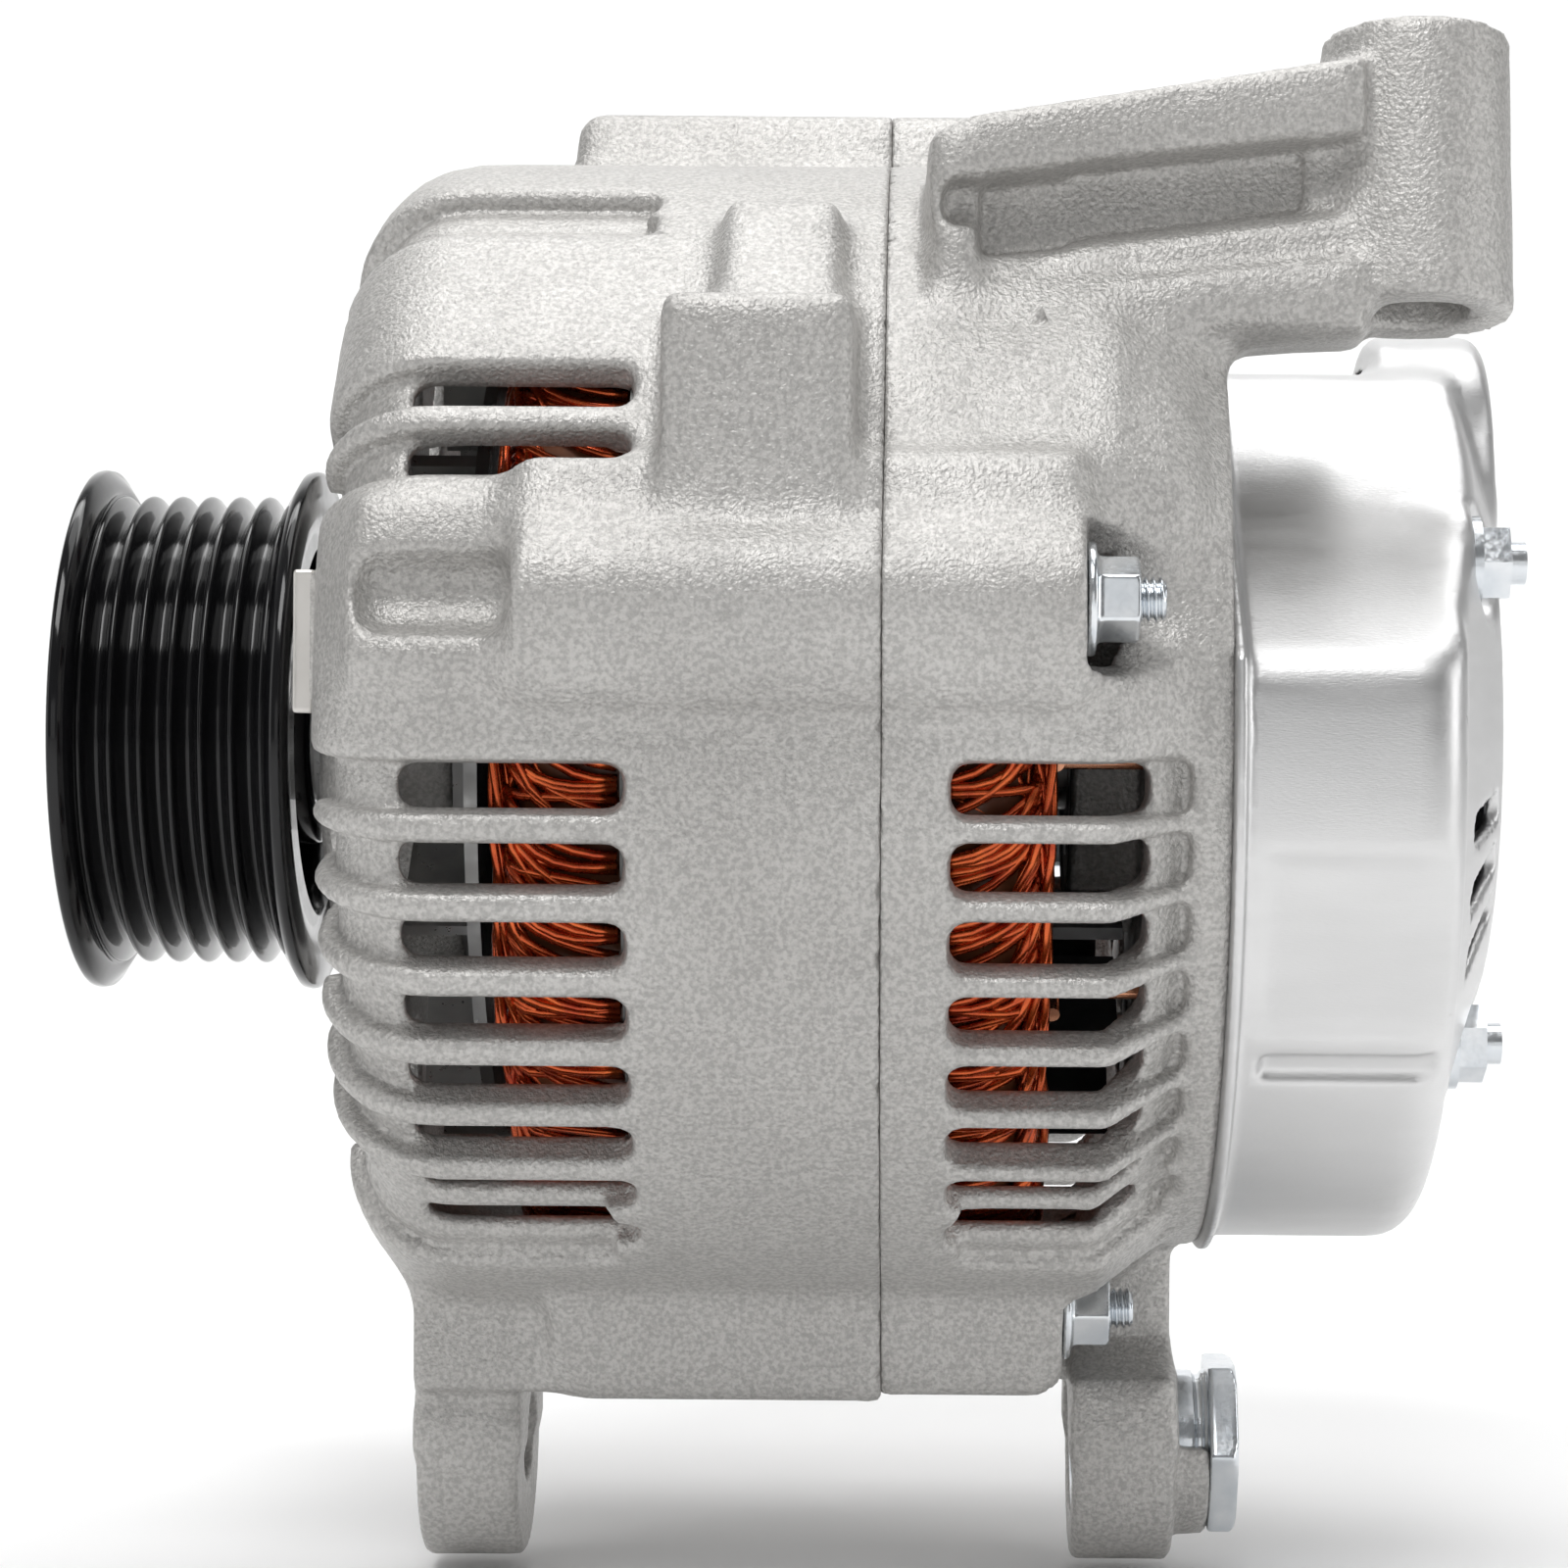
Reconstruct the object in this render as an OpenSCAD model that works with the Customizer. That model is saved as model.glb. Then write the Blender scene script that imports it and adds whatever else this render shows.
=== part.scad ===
// Car alternator with internal fans, a ribbed belt pulley, two pivot ears and a tall adjuster boss.
// The shaft runs along X, with the pulley at -X and the electrical end at +X.
// The origin is the centre of the front ear's pivot bore, and +Z points up from it to the shaft.

/* [Drum and rotor] */
// Outside diameter of the cast drum
drum_d = 138.8; // [125:0.2:170]
// Thickness of the drum's cast wall
wall = 3.5; // [2.5:0.1:4.5]
// Length of the stator's iron stack
stack_len = 33; // [26:0.5:40]
// Length of the rotor over its two pole pieces
rotor_len = 56.5; // [48:0.5:70]
// Iron left behind the stator's slots
back_iron = 4.8; // [4:0.1:7]
// Depth of the stator's slots
slot_depth = 9; // [7:0.1:11]
// Radial gap between the rotor and the stator
air_gap = 0.5; // [0.3:0.05:0.8]
// Length of the end turns beyond the stack
end_turn_len = 14.5; // [10:0.5:17]

/* [Housings] */
// Radius of the front housing's round shoulder
shoulder_r = 14; // [8:0.5:16]
// Thickness of the housings' end walls
end_wall = 4; // [3:0.2:5]
// Height of the air slots in the front housing
front_slot_w = 4.8; // [3.5:0.1:5.4]
// Height of the air slots in the rear housing
rear_slot_w = 5.6; // [4:0.1:6]
// Angle from one air slot to the next
slot_step = 7.3; // [7:0.1:8]

/* [Through studs] */
// Distance of the studs outside the drum's surface
stud_out = 0.6; // [0:0.1:3]
// Diameter of the studs
stud_d = 5; // [4:0.5:7]
// Angle of the first stud above the -Y side
stud_angle = 12; // [8:1:16]
// Radius of the cast bosses round the studs
stud_boss_r = 7.8; // [6:0.2:9]
// Distance from the seam to the seats of the nuts
nut_seat_x = 21.5; // [16:0.5:24]

/* [Pivot ears] */
// Distance from the drum's surface down to the pivot bolt
pivot_drop = 17.6; // [16:0.2:30]
// Distance from the seam to the middle of the front ear
ear_to_seam = 49.7; // [46:0.1:54]
// Thickness of the front ear
front_ear_t = 12.2; // [8:0.2:15]
// Thickness of the rear ear
rear_ear_t = 12.3; // [8:0.2:14]
// Clear gap between the two ears
ear_gap = 66.7; // [60:0.1:70]
// Radius of the ears' round ends
ear_r = 14.3; // [12:0.1:18]
// Diameter of the pivot bolt's hole
pivot_bore_d = 10.5; // [8:0.1:12.5]
// Outside diameter of the sliding bush in the rear ear
bush_d = 17.6; // [15:0.2:19]
// Size of the bush's head across its flats
bush_head_af = 20; // [19:0.5:24]

/* [Adjuster boss] */
// Distance from the seam to the boss
boss_x = 60; // [58:0.5:72]
// Height of the boss's lower face above the shaft
boss_low = 47.5; // [46:0.5:56]
// Outside diameter of the boss
boss_d = 21.6; // [18:0.2:24]
// Length of the boss
boss_len = 32; // [28:0.5:40]
// Diameter of the hole through the boss
boss_bore_d = 11.4; // [8:0.1:12.5]
// Lean of the boss away from upright
boss_tilt = 9; // [0:1:12]
// Distance of the boss from the shaft's upright plane, towards the -Y side
boss_out = 38.5; // [36:0.5:40]
// Width of the arm that carries the boss
arm_w = 23; // [16:0.5:24]

/* [Shaft and bearings] */
// Diameter of the shaft at the pulley and front bearing
shaft_d = 17; // [15:0.5:20]
// Outside diameter of the front bearing
front_bearing_d = 47; // [42:0.5:50]
// Width of the front bearing
front_bearing_w = 14; // [12:0.5:16]
// Diameter of the shaft at the rear bearing
rear_shaft_d = 15; // [14:0.5:17]
// Outside diameter of the rear bearing
rear_bearing_d = 35; // [32:0.5:38]
// Width of the rear bearing
rear_bearing_w = 11; // [9:0.5:12]

/* [Pulley] */
// Outside diameter of the pulley's flanges
pulley_d = 63.7; // [58:0.1:80]
// Diameter over the tips of the ribs
crest_d = 57.4; // [52:0.1:72]
// Number of belt grooves
groove_count = 6; // [4:1:7]
// Distance from one groove to the next
groove_pitch = 3.56; // [3:0.01:4]
// Depth of the belt grooves
groove_depth = 2.7; // [2:0.1:3]

/* [Rear cover] */
// Outside diameter of the rear cover
cover_d = 122; // [116:0.5:130]
// Thickness of the cover's sheet
cover_t = 1.5; // [1:0.1:2]
// Depth of the cover to its outer face
cover_depth = 26; // [24:0.5:32]
// Rise of the raised middle of the cover
cover_rise = 7.5; // [5:0.5:10]
// Height of the cover's flat top above the shaft
cover_flat = 43.5; // [40:0.5:46]
// Width of the air vents in the cover
vent_w = 3.6; // [2.5:0.1:5]

/* [Electrical parts] */
// Diameter of the slip rings
slip_ring_d = 14.4; // [13:0.2:16]
// Width of one slip ring
slip_ring_w = 5; // [4:0.5:6]
// Diameter of the rectifier's diodes
diode_d = 12.7; // [9:0.1:13]
// Thickness of the rectifier's cooling plates
fin_t = 3; // [2:0.5:3.5]
// Diameter of the output stud
output_stud_d = 6; // [5:0.5:8]

/* [Hidden] */
$fn = 64;

// Clearances
seat = 0.05;
running = 0.05;
eps = 0.01;
cut = 5;

// Drum and rotor radii, from the outside in
drum_r = drum_d / 2;
bore_r = drum_r - wall;
inner_r = bore_r - 1;
core_r = bore_r - seat;
slot_floor_r = core_r - back_iron;
core_in_r = slot_floor_r - slot_depth;
rotor_r = core_in_r - air_gap;
shaft_h = drum_r + pivot_drop;

// Places along the shaft, measured from the seam between the housings
stack_mid = -11.5;
stack_front = stack_mid - stack_len / 2;
stack_rear = stack_mid + stack_len / 2;
pole_mid = -12.25;
pole_front = pole_mid - rotor_len / 2;
pole_rear = pole_mid + rotor_len / 2;
front_fan_h = 13.5;
rear_fan_h = 11;
fan_gap = 3;
front_inner = pole_front - front_fan_h - fan_gap - 1.4;
front_face = front_inner - end_wall;
rear_inner = pole_rear + rear_fan_h + fan_gap;
rear_face = rear_inner + end_wall;
cover_seat_x = rear_face + 4;
face_r = drum_r - shoulder_r;

// Front bearing
front_hub_r = front_bearing_d / 2 + 8.5;
front_brg_x = front_face - 1.6;
front_brg_end = front_brg_x + front_bearing_w;
front_lip_x = front_brg_x - 2;
front_lip_r = front_bearing_d / 2 - 5.5;
boss_start = stack_front - 10.6;
front_pitch_r = (shaft_d + front_bearing_d) / 4;
front_ball_r = (front_bearing_d - shaft_d) * 0.145;
front_ball_count = 7;
retainer_t = 1.6;
retainer_screw_r = front_bearing_d / 2 + 4;
retainer_screw_d = 4.6;

// Rear bearing
rear_brg_x = rear_inner - 8;
rear_brg_end = rear_brg_x + rear_bearing_w;
sleeve_t = 1.5;
rear_hub_r = rear_bearing_d / 2 + sleeve_t + 5;
rear_pitch_r = (rear_shaft_d + rear_bearing_d) / 4;
rear_ball_r = (rear_bearing_d - rear_shaft_d) * 0.148;
rear_ball_count = 8;

// Pulley
rib_span = groove_count * groove_pitch;
pulley_rear = front_lip_x - 3.6;
flange_t = 2;
crest_flat = 0.7;
root_flat = 0.9;
last_crest = pulley_rear - flange_t - 1;
first_crest = last_crest - rib_span;
pulley_front = first_crest - 1 - flange_t;
nut_recess = 11;
web_front = pulley_front + nut_recess;
nut_recess_r = 21;
hub_r = 14;
rim_in_r = crest_d / 2 - groove_depth - 3.4;
nut_af = 22;
nut_h = 9.5;
thread_r = 7;

// Rotor
disc_t = 12;
pole_core_r = 27;
claw_t = 9;
claw_count = 6;
pole_bore_r = 9;
coil_r = rotor_r - claw_t - 1.5;
fan_r = rotor_r - 1.6;
fan_disc_t = 1.5;
fan_dish = 4.5;
blade_t = 1.4;
blade_inset = 0.8;
blade_in_r = front_hub_r + 2;
front_blades = 11;
rear_blades = 13;

// Slip rings and brushes
ring_a_x = rear_face + 9.5;
ring_gap = 3;
ring_b_x = ring_a_x + slip_ring_w + ring_gap;
slip_r = slip_ring_d / 2;
ring_core_r = 5;
shaft_end = ring_b_x + slip_ring_w / 2 + 2;
brush_w = slip_ring_w - 0.2;
brush_d = 7;
brush_len = 13;
brush_gap = 0.05;
brush_side = 0.1;
brush_low = 2;
holder_low = slip_r + 1.2;
holder_top = 36;
holder_roof = 2.5;
holder_wall = 1.6;
holder_half_w = brush_d / 2 + holder_wall + 1;
rest_gap = 0.3;
regulator_size = [16, 16, 15.5];
hub_rise = 2;
spring_r = 2;
spring_wire = 0.35;
spring_turns = 6;

// Rear cover
cover_r = cover_d / 2;
cover_face = cover_seat_x + cover_depth;
cover_top = cover_face + cover_rise;
cover_round = 5;
raised_r = 33;
cone_r = cover_r - cover_round - 2;
lip_w = 1.8;
hump_x = cover_top + 0.8;
hump_r = 20;
hump_z = cover_flat + 6 - hump_r;
cover_stud_r = 41;
cover_stud_angles = [29.4, -61.6, 185];
cover_stud_turns = [for (a = cover_stud_angles) (450 - a) % 360 - 180];
cover_stud_d = 5;
cover_nut_af = 8;
cover_nut_h = 4.5;
pad_x = cover_face + 2.5;
pad_r = 6.4;
flat_angle = 50.2;
flat_r = 45;
vent_step = 10;
vent_first = 2.5;
vent_clear = 13;
vent_in_r = 35;
vent_len = 13;

// Stator leads
lead_angles = [-93, -33, -3];
lead_r = cover_r - 8.6;
lead_wire = 0.9;
lead_x = stack_rear + end_turn_len - 1.5 + lead_wire + seat;

// Rectifier: angles here turn from straight down towards +Y
plate_in_r = 26;
negative_x = rear_face + 4.3;
positive_x = negative_x + 8;
diode_r = 41;
diode_h = 5.2;
negative_angles = [-102, -56, 13, 59];
positive_angles = [-79, -10, 36, 101];
output_angle = 120;
output_r = 44;
output_seat_x = cover_face + 4.6;
output_nut_h = 4;
output_end = cover_face + 16;
connector_y = 8;
connector_z = 24.5;
connector_size = [cover_face - negative_x + 11, 20, 16];
connector_wall = 2;

// Feet and ears, measured from the shaft
foot_low = -shaft_h + 8.3;
foot_w = 40;
foot_h = 18;
foot_end = nut_seat_x - 0.6;
rear_ear_x = -ear_to_seam + front_ear_t / 2 + ear_gap;
collar_t = 4.4;
arm_start = 5.2;
arm_root_z = 34;
arm_web = 7;
bush_head_t = 3.6;
slide_room = 3;

// ---- Helpers ----

// Moves a shape from the seam on the shaft's axis to its place above the pivot bore
module on_shaft() translate([ear_to_seam, 0, shaft_h]) children();

// Turns an outline of [radius, x] points round the shaft's axis
module spin() rotate([0, 90, 0]) rotate_extrude() children();

module rod(x0, x1, r) translate([x0, 0, 0]) rotate([0, 90, 0]) cylinder(h = x1 - x0, r = r);

module ring(x0, x1, r_in, r_out) spin() translate([r_in, x0]) square([r_out - r_in, x1 - x0]);

module hex_rod(x0, x1, across_flats) translate([x0, 0, 0]) rotate([0, 90, 0])
    cylinder(h = x1 - x0, d = across_flats / cos(30), $fn = 6);

// Turns a shape from the -Y side to an angle above it, and moves it out from the axis
module out_at(angle, r = 0) rotate([-angle, 0, 0]) translate([0, -r, 0]) children();

// Places a shape at an angle from straight down towards +Y
module down_at(angle, r = 0) rotate([angle, 0, 0]) translate([0, 0, -r]) children();

module at_studs() for (k = [0:3]) out_at(stud_angle + 90 * k, drum_r + stud_out) children();

// Points of an arc in [radius, x] space
function arc(r0, x0, r, a0, a1, n = 8) =
    [for (i = [0:n]) let (a = a0 + (a1 - a0) * i / n) [r0 + r * cos(a), x0 + r * sin(a)]];

// ---- Cast housings ----

// Angles of the air slots: the lower near row, and the same row turned half a turn
near_slots = [for (k = [0:7]) -5 - slot_step * k];
upper_slots = [26, 26 + slot_step];
far_low_slots = [for (k = [0:5]) 206 + slot_step * k];
all_slots = concat(near_slots, [for (a = near_slots) a + 180], upper_slots, far_low_slots);

module air_slots(angles, x0, x1, w) for (a = angles)
    out_at(a, bore_r) translate([x0, -stud_boss_r - cut, -w / 2])
        cube([x1 - x0, stud_boss_r + 2 * cut, w]);

// Openings in an end wall, spaced clear of the stud bosses
module wall_windows(x0, x1, r0, r1, w) for (k = [0:11])
    out_at(stud_angle + 15 + 30 * k, r1) translate([x0, 0, -w / 2]) cube([x1 - x0, r1 - r0, w]);

module front_shell_outline() polygon(concat(
    [[0, front_lip_x], [front_hub_r - 4, front_lip_x], [front_hub_r + 1, front_face]],
    arc(face_r, front_face + shoulder_r, shoulder_r, -90, 0),
    [[drum_r, 0], [0, 0]]));

module front_cavity_outline() polygon(concat(
    [[0, front_lip_x - cut], [front_lip_r, front_lip_x - cut], [front_lip_r, front_brg_x],
     [front_bearing_d / 2 + seat, front_brg_x], [front_bearing_d / 2 + seat, front_brg_end],
     [front_hub_r, front_brg_end], [front_hub_r, front_inner]],
    arc(face_r, front_face + shoulder_r, shoulder_r - wall - 1, -90, 0),
    [[inner_r, stack_front], [bore_r, stack_front], [bore_r, cut], [0, cut]]));

module ear(x0, thickness, top) {
    translate([0, 0, -shaft_h]) rod(x0, x0 + thickness, ear_r);
    translate([x0, -ear_r, -shaft_h]) cube([thickness, 2 * ear_r, shaft_h + top]);
}

module front_housing() color([0.62, 0.62, 0.6]) on_shaft() difference() {
    union() {
        spin() front_shell_outline();
        at_studs() rod(boss_start, 0, stud_boss_r);
        // the near boss runs on to the shoulder, round a pocket
        out_at(stud_angle, drum_r + stud_out)
            rod(front_face + shoulder_r - 4, boss_start + cut, stud_boss_r);
        // machined lug on the front face
        translate([front_face - 2.7, -face_r + 3, 2]) cube([4, 13, 15.6]);
        // flat pad on the near side, above the stud band
        translate([-23.8, -drum_r - 1.2, 21]) cube([20.6, 20, 26]);
        // foot block and front ear
        translate([-ear_to_seam - front_ear_t / 2, -foot_w / 2, foot_low])
            cube([ear_to_seam + front_ear_t / 2, foot_w, foot_h]);
        ear(-ear_to_seam - front_ear_t / 2, front_ear_t, foot_low + cut);
    }
    spin() front_cavity_outline();
    air_slots(all_slots, front_face + 10.7, stack_front + 0.3, front_slot_w);
    wall_windows(front_face - cut, front_inner + 1, front_hub_r + 4, face_r - 1, 11);
    at_studs() rod(stack_front - 8, cut, stud_d / 2);
    for (k = [0:3]) out_at(45 + 90 * k, retainer_screw_r)
        rod(front_brg_end - 9, front_brg_end + cut, retainer_screw_d / 2);
    translate([0, 0, -shaft_h]) rod(-ear_to_seam - ear_r, -ear_to_seam + ear_r, pivot_bore_d / 2);
    // pocket in front of the near stud
    out_at(stud_angle, drum_r + stud_out) rod(front_face - cut, stack_front - 10, 4.5);
}

module rear_shell_outline() polygon([[0, 0], [drum_r, 0], [drum_r, rear_inner - 5],
    [cover_r + 1, rear_face], [cover_r + 1, cover_seat_x], [cover_r - 5, cover_seat_x],
    [cover_r - 5, rear_face], [rear_hub_r, rear_face], [rear_hub_r - 2, rear_face + 2],
    [0, rear_face + 2]]);

module rear_cavity_outline() polygon([[0, -cut], [bore_r, -cut], [bore_r, stack_rear],
    [inner_r, stack_rear], [inner_r, rear_inner - 6], [cover_r - 5, rear_inner],
    [rear_hub_r, rear_inner], [rear_hub_r, rear_brg_x],
    [rear_hub_r - 5 + seat, rear_brg_x], [rear_hub_r - 5 + seat, rear_brg_end],
    [rear_pitch_r, rear_brg_end], [rear_pitch_r, rear_face + cut], [0, rear_face + cut]]);

// Side view of the arm, from the drum to the boss
module arm_outline() polygon([[arm_start, arm_root_z], [arm_start, boss_low + 19],
    [arm_start + 4, boss_low + 21.4],
    [boss_x - boss_d / 2 + 3, boss_low + 28], [boss_x - boss_d / 2 + 3, boss_low - 1.6],
    [cover_seat_x + 2, boss_low - 2.8], [rear_face, boss_low - 6.5], [rear_inner - 4, arm_root_z]]);

module arm_channel_outline() polygon([[arm_start + 5, boss_low + 6.5], [arm_start + 5, boss_low + 13.7],
    [boss_x - boss_d / 2 - 3, boss_low + 18], [boss_x - boss_d / 2 - 3, boss_low + 11.5]]);

module upright(y0, y1) translate([0, y1, 0]) rotate([90, 0, 0])
    linear_extrude(height = y1 - y0) children();

module boss_axis() translate([boss_x, -boss_out, boss_low + boss_len / 2]) rotate([-boss_tilt, 0, 0])
    children();

module rear_housing() color([0.62, 0.62, 0.6]) on_shaft() difference() {
    union() {
        spin() rear_shell_outline();
        at_studs() rod(0, nut_seat_x, stud_boss_r);
        upright(-boss_out - arm_w / 2, -boss_out + arm_w / 2) arm_outline();
        boss_axis() cylinder(h = boss_len, d = boss_d, center = true);
        translate([0, -foot_w / 2, foot_low]) cube([foot_end, foot_w, foot_h]);
        translate([foot_end - 1, -5, foot_low])
            cube([rear_ear_x + rear_ear_t - foot_end + 1, 19, foot_h + 4]);
        ear(rear_ear_x, rear_ear_t, foot_low + 2);
        // half collar under the bush
        difference() {
            translate([0, 0, -shaft_h])
                rod(rear_ear_x, rear_ear_x + rear_ear_t + collar_t, bush_d / 2 + 2.4);
            translate([rear_ear_x + rear_ear_t, -ear_r, -shaft_h + 1]) cube([ear_r, 2 * ear_r, ear_r]);
        }
    }
    spin() rear_cavity_outline();
    air_slots(concat(near_slots, far_low_slots, [for (a = near_slots) a + 180]),
        stack_rear + 2.4, rear_inner - 1.3, rear_slot_w);
    wall_windows(rear_inner - 1, cover_seat_x + cut, rear_hub_r + 4, cover_r - 7, 12);
    at_studs() rod(-cut, nut_seat_x + cut, stud_d / 2 + 0.2);
    // spot faces round the nuts, down to their seats
    at_studs() rod(nut_seat_x, nut_seat_x + 12, stud_boss_r + 0.4);
    for (a = cover_stud_angles) out_at(a, cover_stud_r)
        rod(rear_inner - 1, rear_face + cut, cover_stud_d / 2);
    for (y = [-boss_out - arm_web / 2 - arm_w, -boss_out + arm_web / 2]) upright(y, y + arm_w)
        arm_channel_outline();
    boss_axis() cylinder(h = boss_len + 2 * cut, d = boss_bore_d, center = true);
    translate([0, 0, -shaft_h]) rod(rear_ear_x - cut, rear_ear_x + 30, bush_d / 2 + running);
}

// ---- Rear cover ----

// Outline of the sheet's outer face, or of its inner face when drawn smaller by its thickness
module cover_outline(t) polygon(concat(
    [[0, cover_seat_x - (t > 0 ? cut : 0)], [cover_r - t, cover_seat_x - (t > 0 ? cut : 0)]],
    arc(cover_r - cover_round, cover_face - cover_round, cover_round - t, 0, 90, 5),
    [[cone_r, cover_face - t], [raised_r - t / 2, cover_top - t], [0, cover_top - t]]));

module cover_solid(t) {
    difference() {
        spin() cover_outline(t);
        translate([0, -cover_r * 2, cover_flat - t]) cube([cover_top + cut, cover_r * 4, cover_r]);
        // slanted flat that clears the arm's boss
        out_at(flat_angle) translate([0, -2 * cover_r, -cover_r])
            cube([cover_top + cut, 2 * cover_r - flat_r + t, 2 * cover_r]);
        // the raised middle is pressed back down round each nut
        for (a = cover_stud_angles) out_at(a, cover_stud_r) rod(pad_x - t, cover_top + cut, pad_r + t);
    }
    // hump at the top of the raised middle
    translate([0, 0, hump_z]) rod(cover_face - 6 + t, hump_x - t, hump_r - t);
    for (a = cover_stud_angles) out_at(a, cover_stud_r) rod(cover_face - 3, pad_x - t, pad_r - t);
}

module connector_block(grow) translate([cover_face - 8, connector_y - grow, connector_z - grow])
    cube([cover_rise + 20, connector_size[1] + 2 * grow, connector_size[2] + 2 * grow]);

// A vent is left out where a nut or the output stud stands in its place
function vent_fits(a) = min([for (b = concat(cover_stud_turns, [output_angle])) abs(a - b)]) > vent_clear;

module rear_cover() color([0.86, 0.86, 0.85]) on_shaft() difference() {
    union() {
        cover_solid(0);
        difference() {
            ring(cover_seat_x, cover_seat_x + cover_t, cover_r - 2, cover_r + lip_w);
            translate([0, -cover_r * 2, cover_flat]) cube([cover_top, cover_r * 4, cover_r]);
            out_at(flat_angle) translate([0, -2 * cover_r, -cover_r])
                cube([cover_top, 2 * cover_r - flat_r, 2 * cover_r]);
        }
    }
    cover_solid(cover_t);
    for (k = [-11:10]) let (a = vent_step * k + vent_first) if (abs(a) > 50 && vent_fits(a))
        down_at(a, vent_in_r + vent_len) translate([cover_face - cut, -vent_w / 2, 0])
            cube([cover_rise + 2 * cut, vent_w, vent_len]);
    for (a = cover_stud_angles) out_at(a, cover_stud_r)
        rod(cover_face - cut, pad_x + cut, cover_stud_d / 2 + 0.3);
    connector_block(0.5);
    down_at(output_angle, output_r) rod(cover_face - cut, cover_top + cut, 7.5);
}

// ---- Stator ----

module at_slots() for (k = [0:35]) out_at(10 * k + 5) children();

slot_open = 5.2;
liner_t = 0.25;
wire_w = slot_open - 2 * liner_t - 4 * seat;

module stator_core() color([0.35, 0.35, 0.37]) on_shaft() difference() {
    ring(stack_front + seat, stack_rear - seat, core_in_r, core_r);
    at_slots() translate([stack_front - cut, -slot_floor_r, -slot_open / 2])
        cube([stack_len + 2 * cut, slot_depth + cut, slot_open]);
}

module end_turns(x0, x1) spin() polygon([[core_in_r + 2, x0], [slot_floor_r + 1, x0],
    [core_r - 2.3, x0 + (x1 - x0) * 0.2], [core_r - 2.3, x0 + (x1 - x0) * 0.8],
    [slot_floor_r - 1, x1], [core_in_r + 3, x1], [core_in_r + 1.5, x0 + (x1 - x0) * 0.8]]);

module stator_winding() color([0.72, 0.25, 0.1]) on_shaft() {
    end_turns(stack_front - liner_t, stack_front - end_turn_len);
    end_turns(stack_rear + liner_t, stack_rear + end_turn_len - 1.5);
    at_slots() translate([stack_front - 1, -slot_floor_r + liner_t + 2 * seat, -wire_w / 2])
        cube([stack_len + 2, slot_depth - 2, wire_w]);
}

module slot_liners() color([0.85, 0.8, 0.65]) on_shaft() at_slots() difference() {
    translate([stack_front, -slot_floor_r + seat, -slot_open / 2 + seat])
        cube([stack_len, slot_depth - 1, slot_open - 2 * seat]);
    translate([stack_front - cut, -slot_floor_r + seat + liner_t, -slot_open / 2 + seat + liner_t])
        cube([stack_len + 2 * cut, slot_depth, slot_open - 2 * seat - 2 * liner_t]);
}

module stator_leads() color([0.72, 0.25, 0.1]) on_shaft() for (a = lead_angles)
    out_at(a) {
        translate([0, -lead_r, 0]) rod(lead_x, negative_x + fin_t + 2.2, lead_wire);
        translate([lead_x, -min(lead_r, core_in_r + 4), 0]) rotate([90, 0, 0])
            cylinder(h = abs(lead_r - core_in_r - 4) + lead_wire, r = lead_wire);
    }

// ---- Through studs and retainer ----

module through_studs() color([0.78, 0.8, 0.82]) on_shaft() at_studs()
    rod(stack_front - 7.5, nut_seat_x + 8.5, stud_d / 2 - seat);

module flange_nuts() color([0.78, 0.8, 0.82]) on_shaft() at_studs() difference() {
    union() {
        rod(nut_seat_x + seat, nut_seat_x + 1.3, stud_boss_r - 0.7);
        hex_rod(nut_seat_x + 1, nut_seat_x + 5.2, 8);
    }
    rod(nut_seat_x - cut, nut_seat_x + 2 * cut, stud_d / 2);
}

module bearing_retainer() color([0.6, 0.6, 0.6]) on_shaft() difference() {
    ring(front_brg_end + seat, front_brg_end + retainer_t, front_lip_r, front_hub_r - 0.5);
    for (k = [0:3]) out_at(45 + 90 * k, retainer_screw_r)
        rod(front_brg_end - cut, front_brg_end + cut, retainer_screw_d / 2 + 0.2);
}

module retainer_screws() color([0.75, 0.75, 0.7]) on_shaft() for (k = [0:3])
    out_at(45 + 90 * k, retainer_screw_r) {
        rod(front_brg_end - 8.5, front_brg_end + retainer_t + 1, retainer_screw_d / 2 - seat);
        rod(front_brg_end + retainer_t + seat, front_brg_end + retainer_t + 1.6, 3.2);
    }

// ---- Bearings ----

module race_ring(x0, w, r_in, r_out, pitch_r, ball_r) difference() {
    ring(x0 + seat, x0 + w - seat, r_in, r_out);
    spin() translate([pitch_r, x0 + w / 2]) circle(r = ball_r + running);
}

module seal_pair(x0, w, r_in, r_out) {
    ring(x0 + 0.3, x0 + 1.1, r_in, r_out);
    ring(x0 + w - 1.1, x0 + w - 0.3, r_in, r_out);
}

module ball_ring(x0, w, pitch_r, ball_r, count) for (k = [0:count - 1])
    out_at(360 / count * k, pitch_r) translate([x0 + w / 2, 0, 0]) sphere(r = ball_r);

module cage_ring(x0, w, pitch_r, ball_r, count) difference() {
    ring(x0 + w / 2 - ball_r - 0.6, x0 + w / 2 + ball_r + 0.6, pitch_r - 0.7, pitch_r + 0.7);
    for (k = [0:count - 1]) out_at(360 / count * k, pitch_r) translate([x0 + w / 2, 2, 0])
        rotate([90, 0, 0]) cylinder(h = 4, r = ball_r + 0.15);
}

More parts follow.
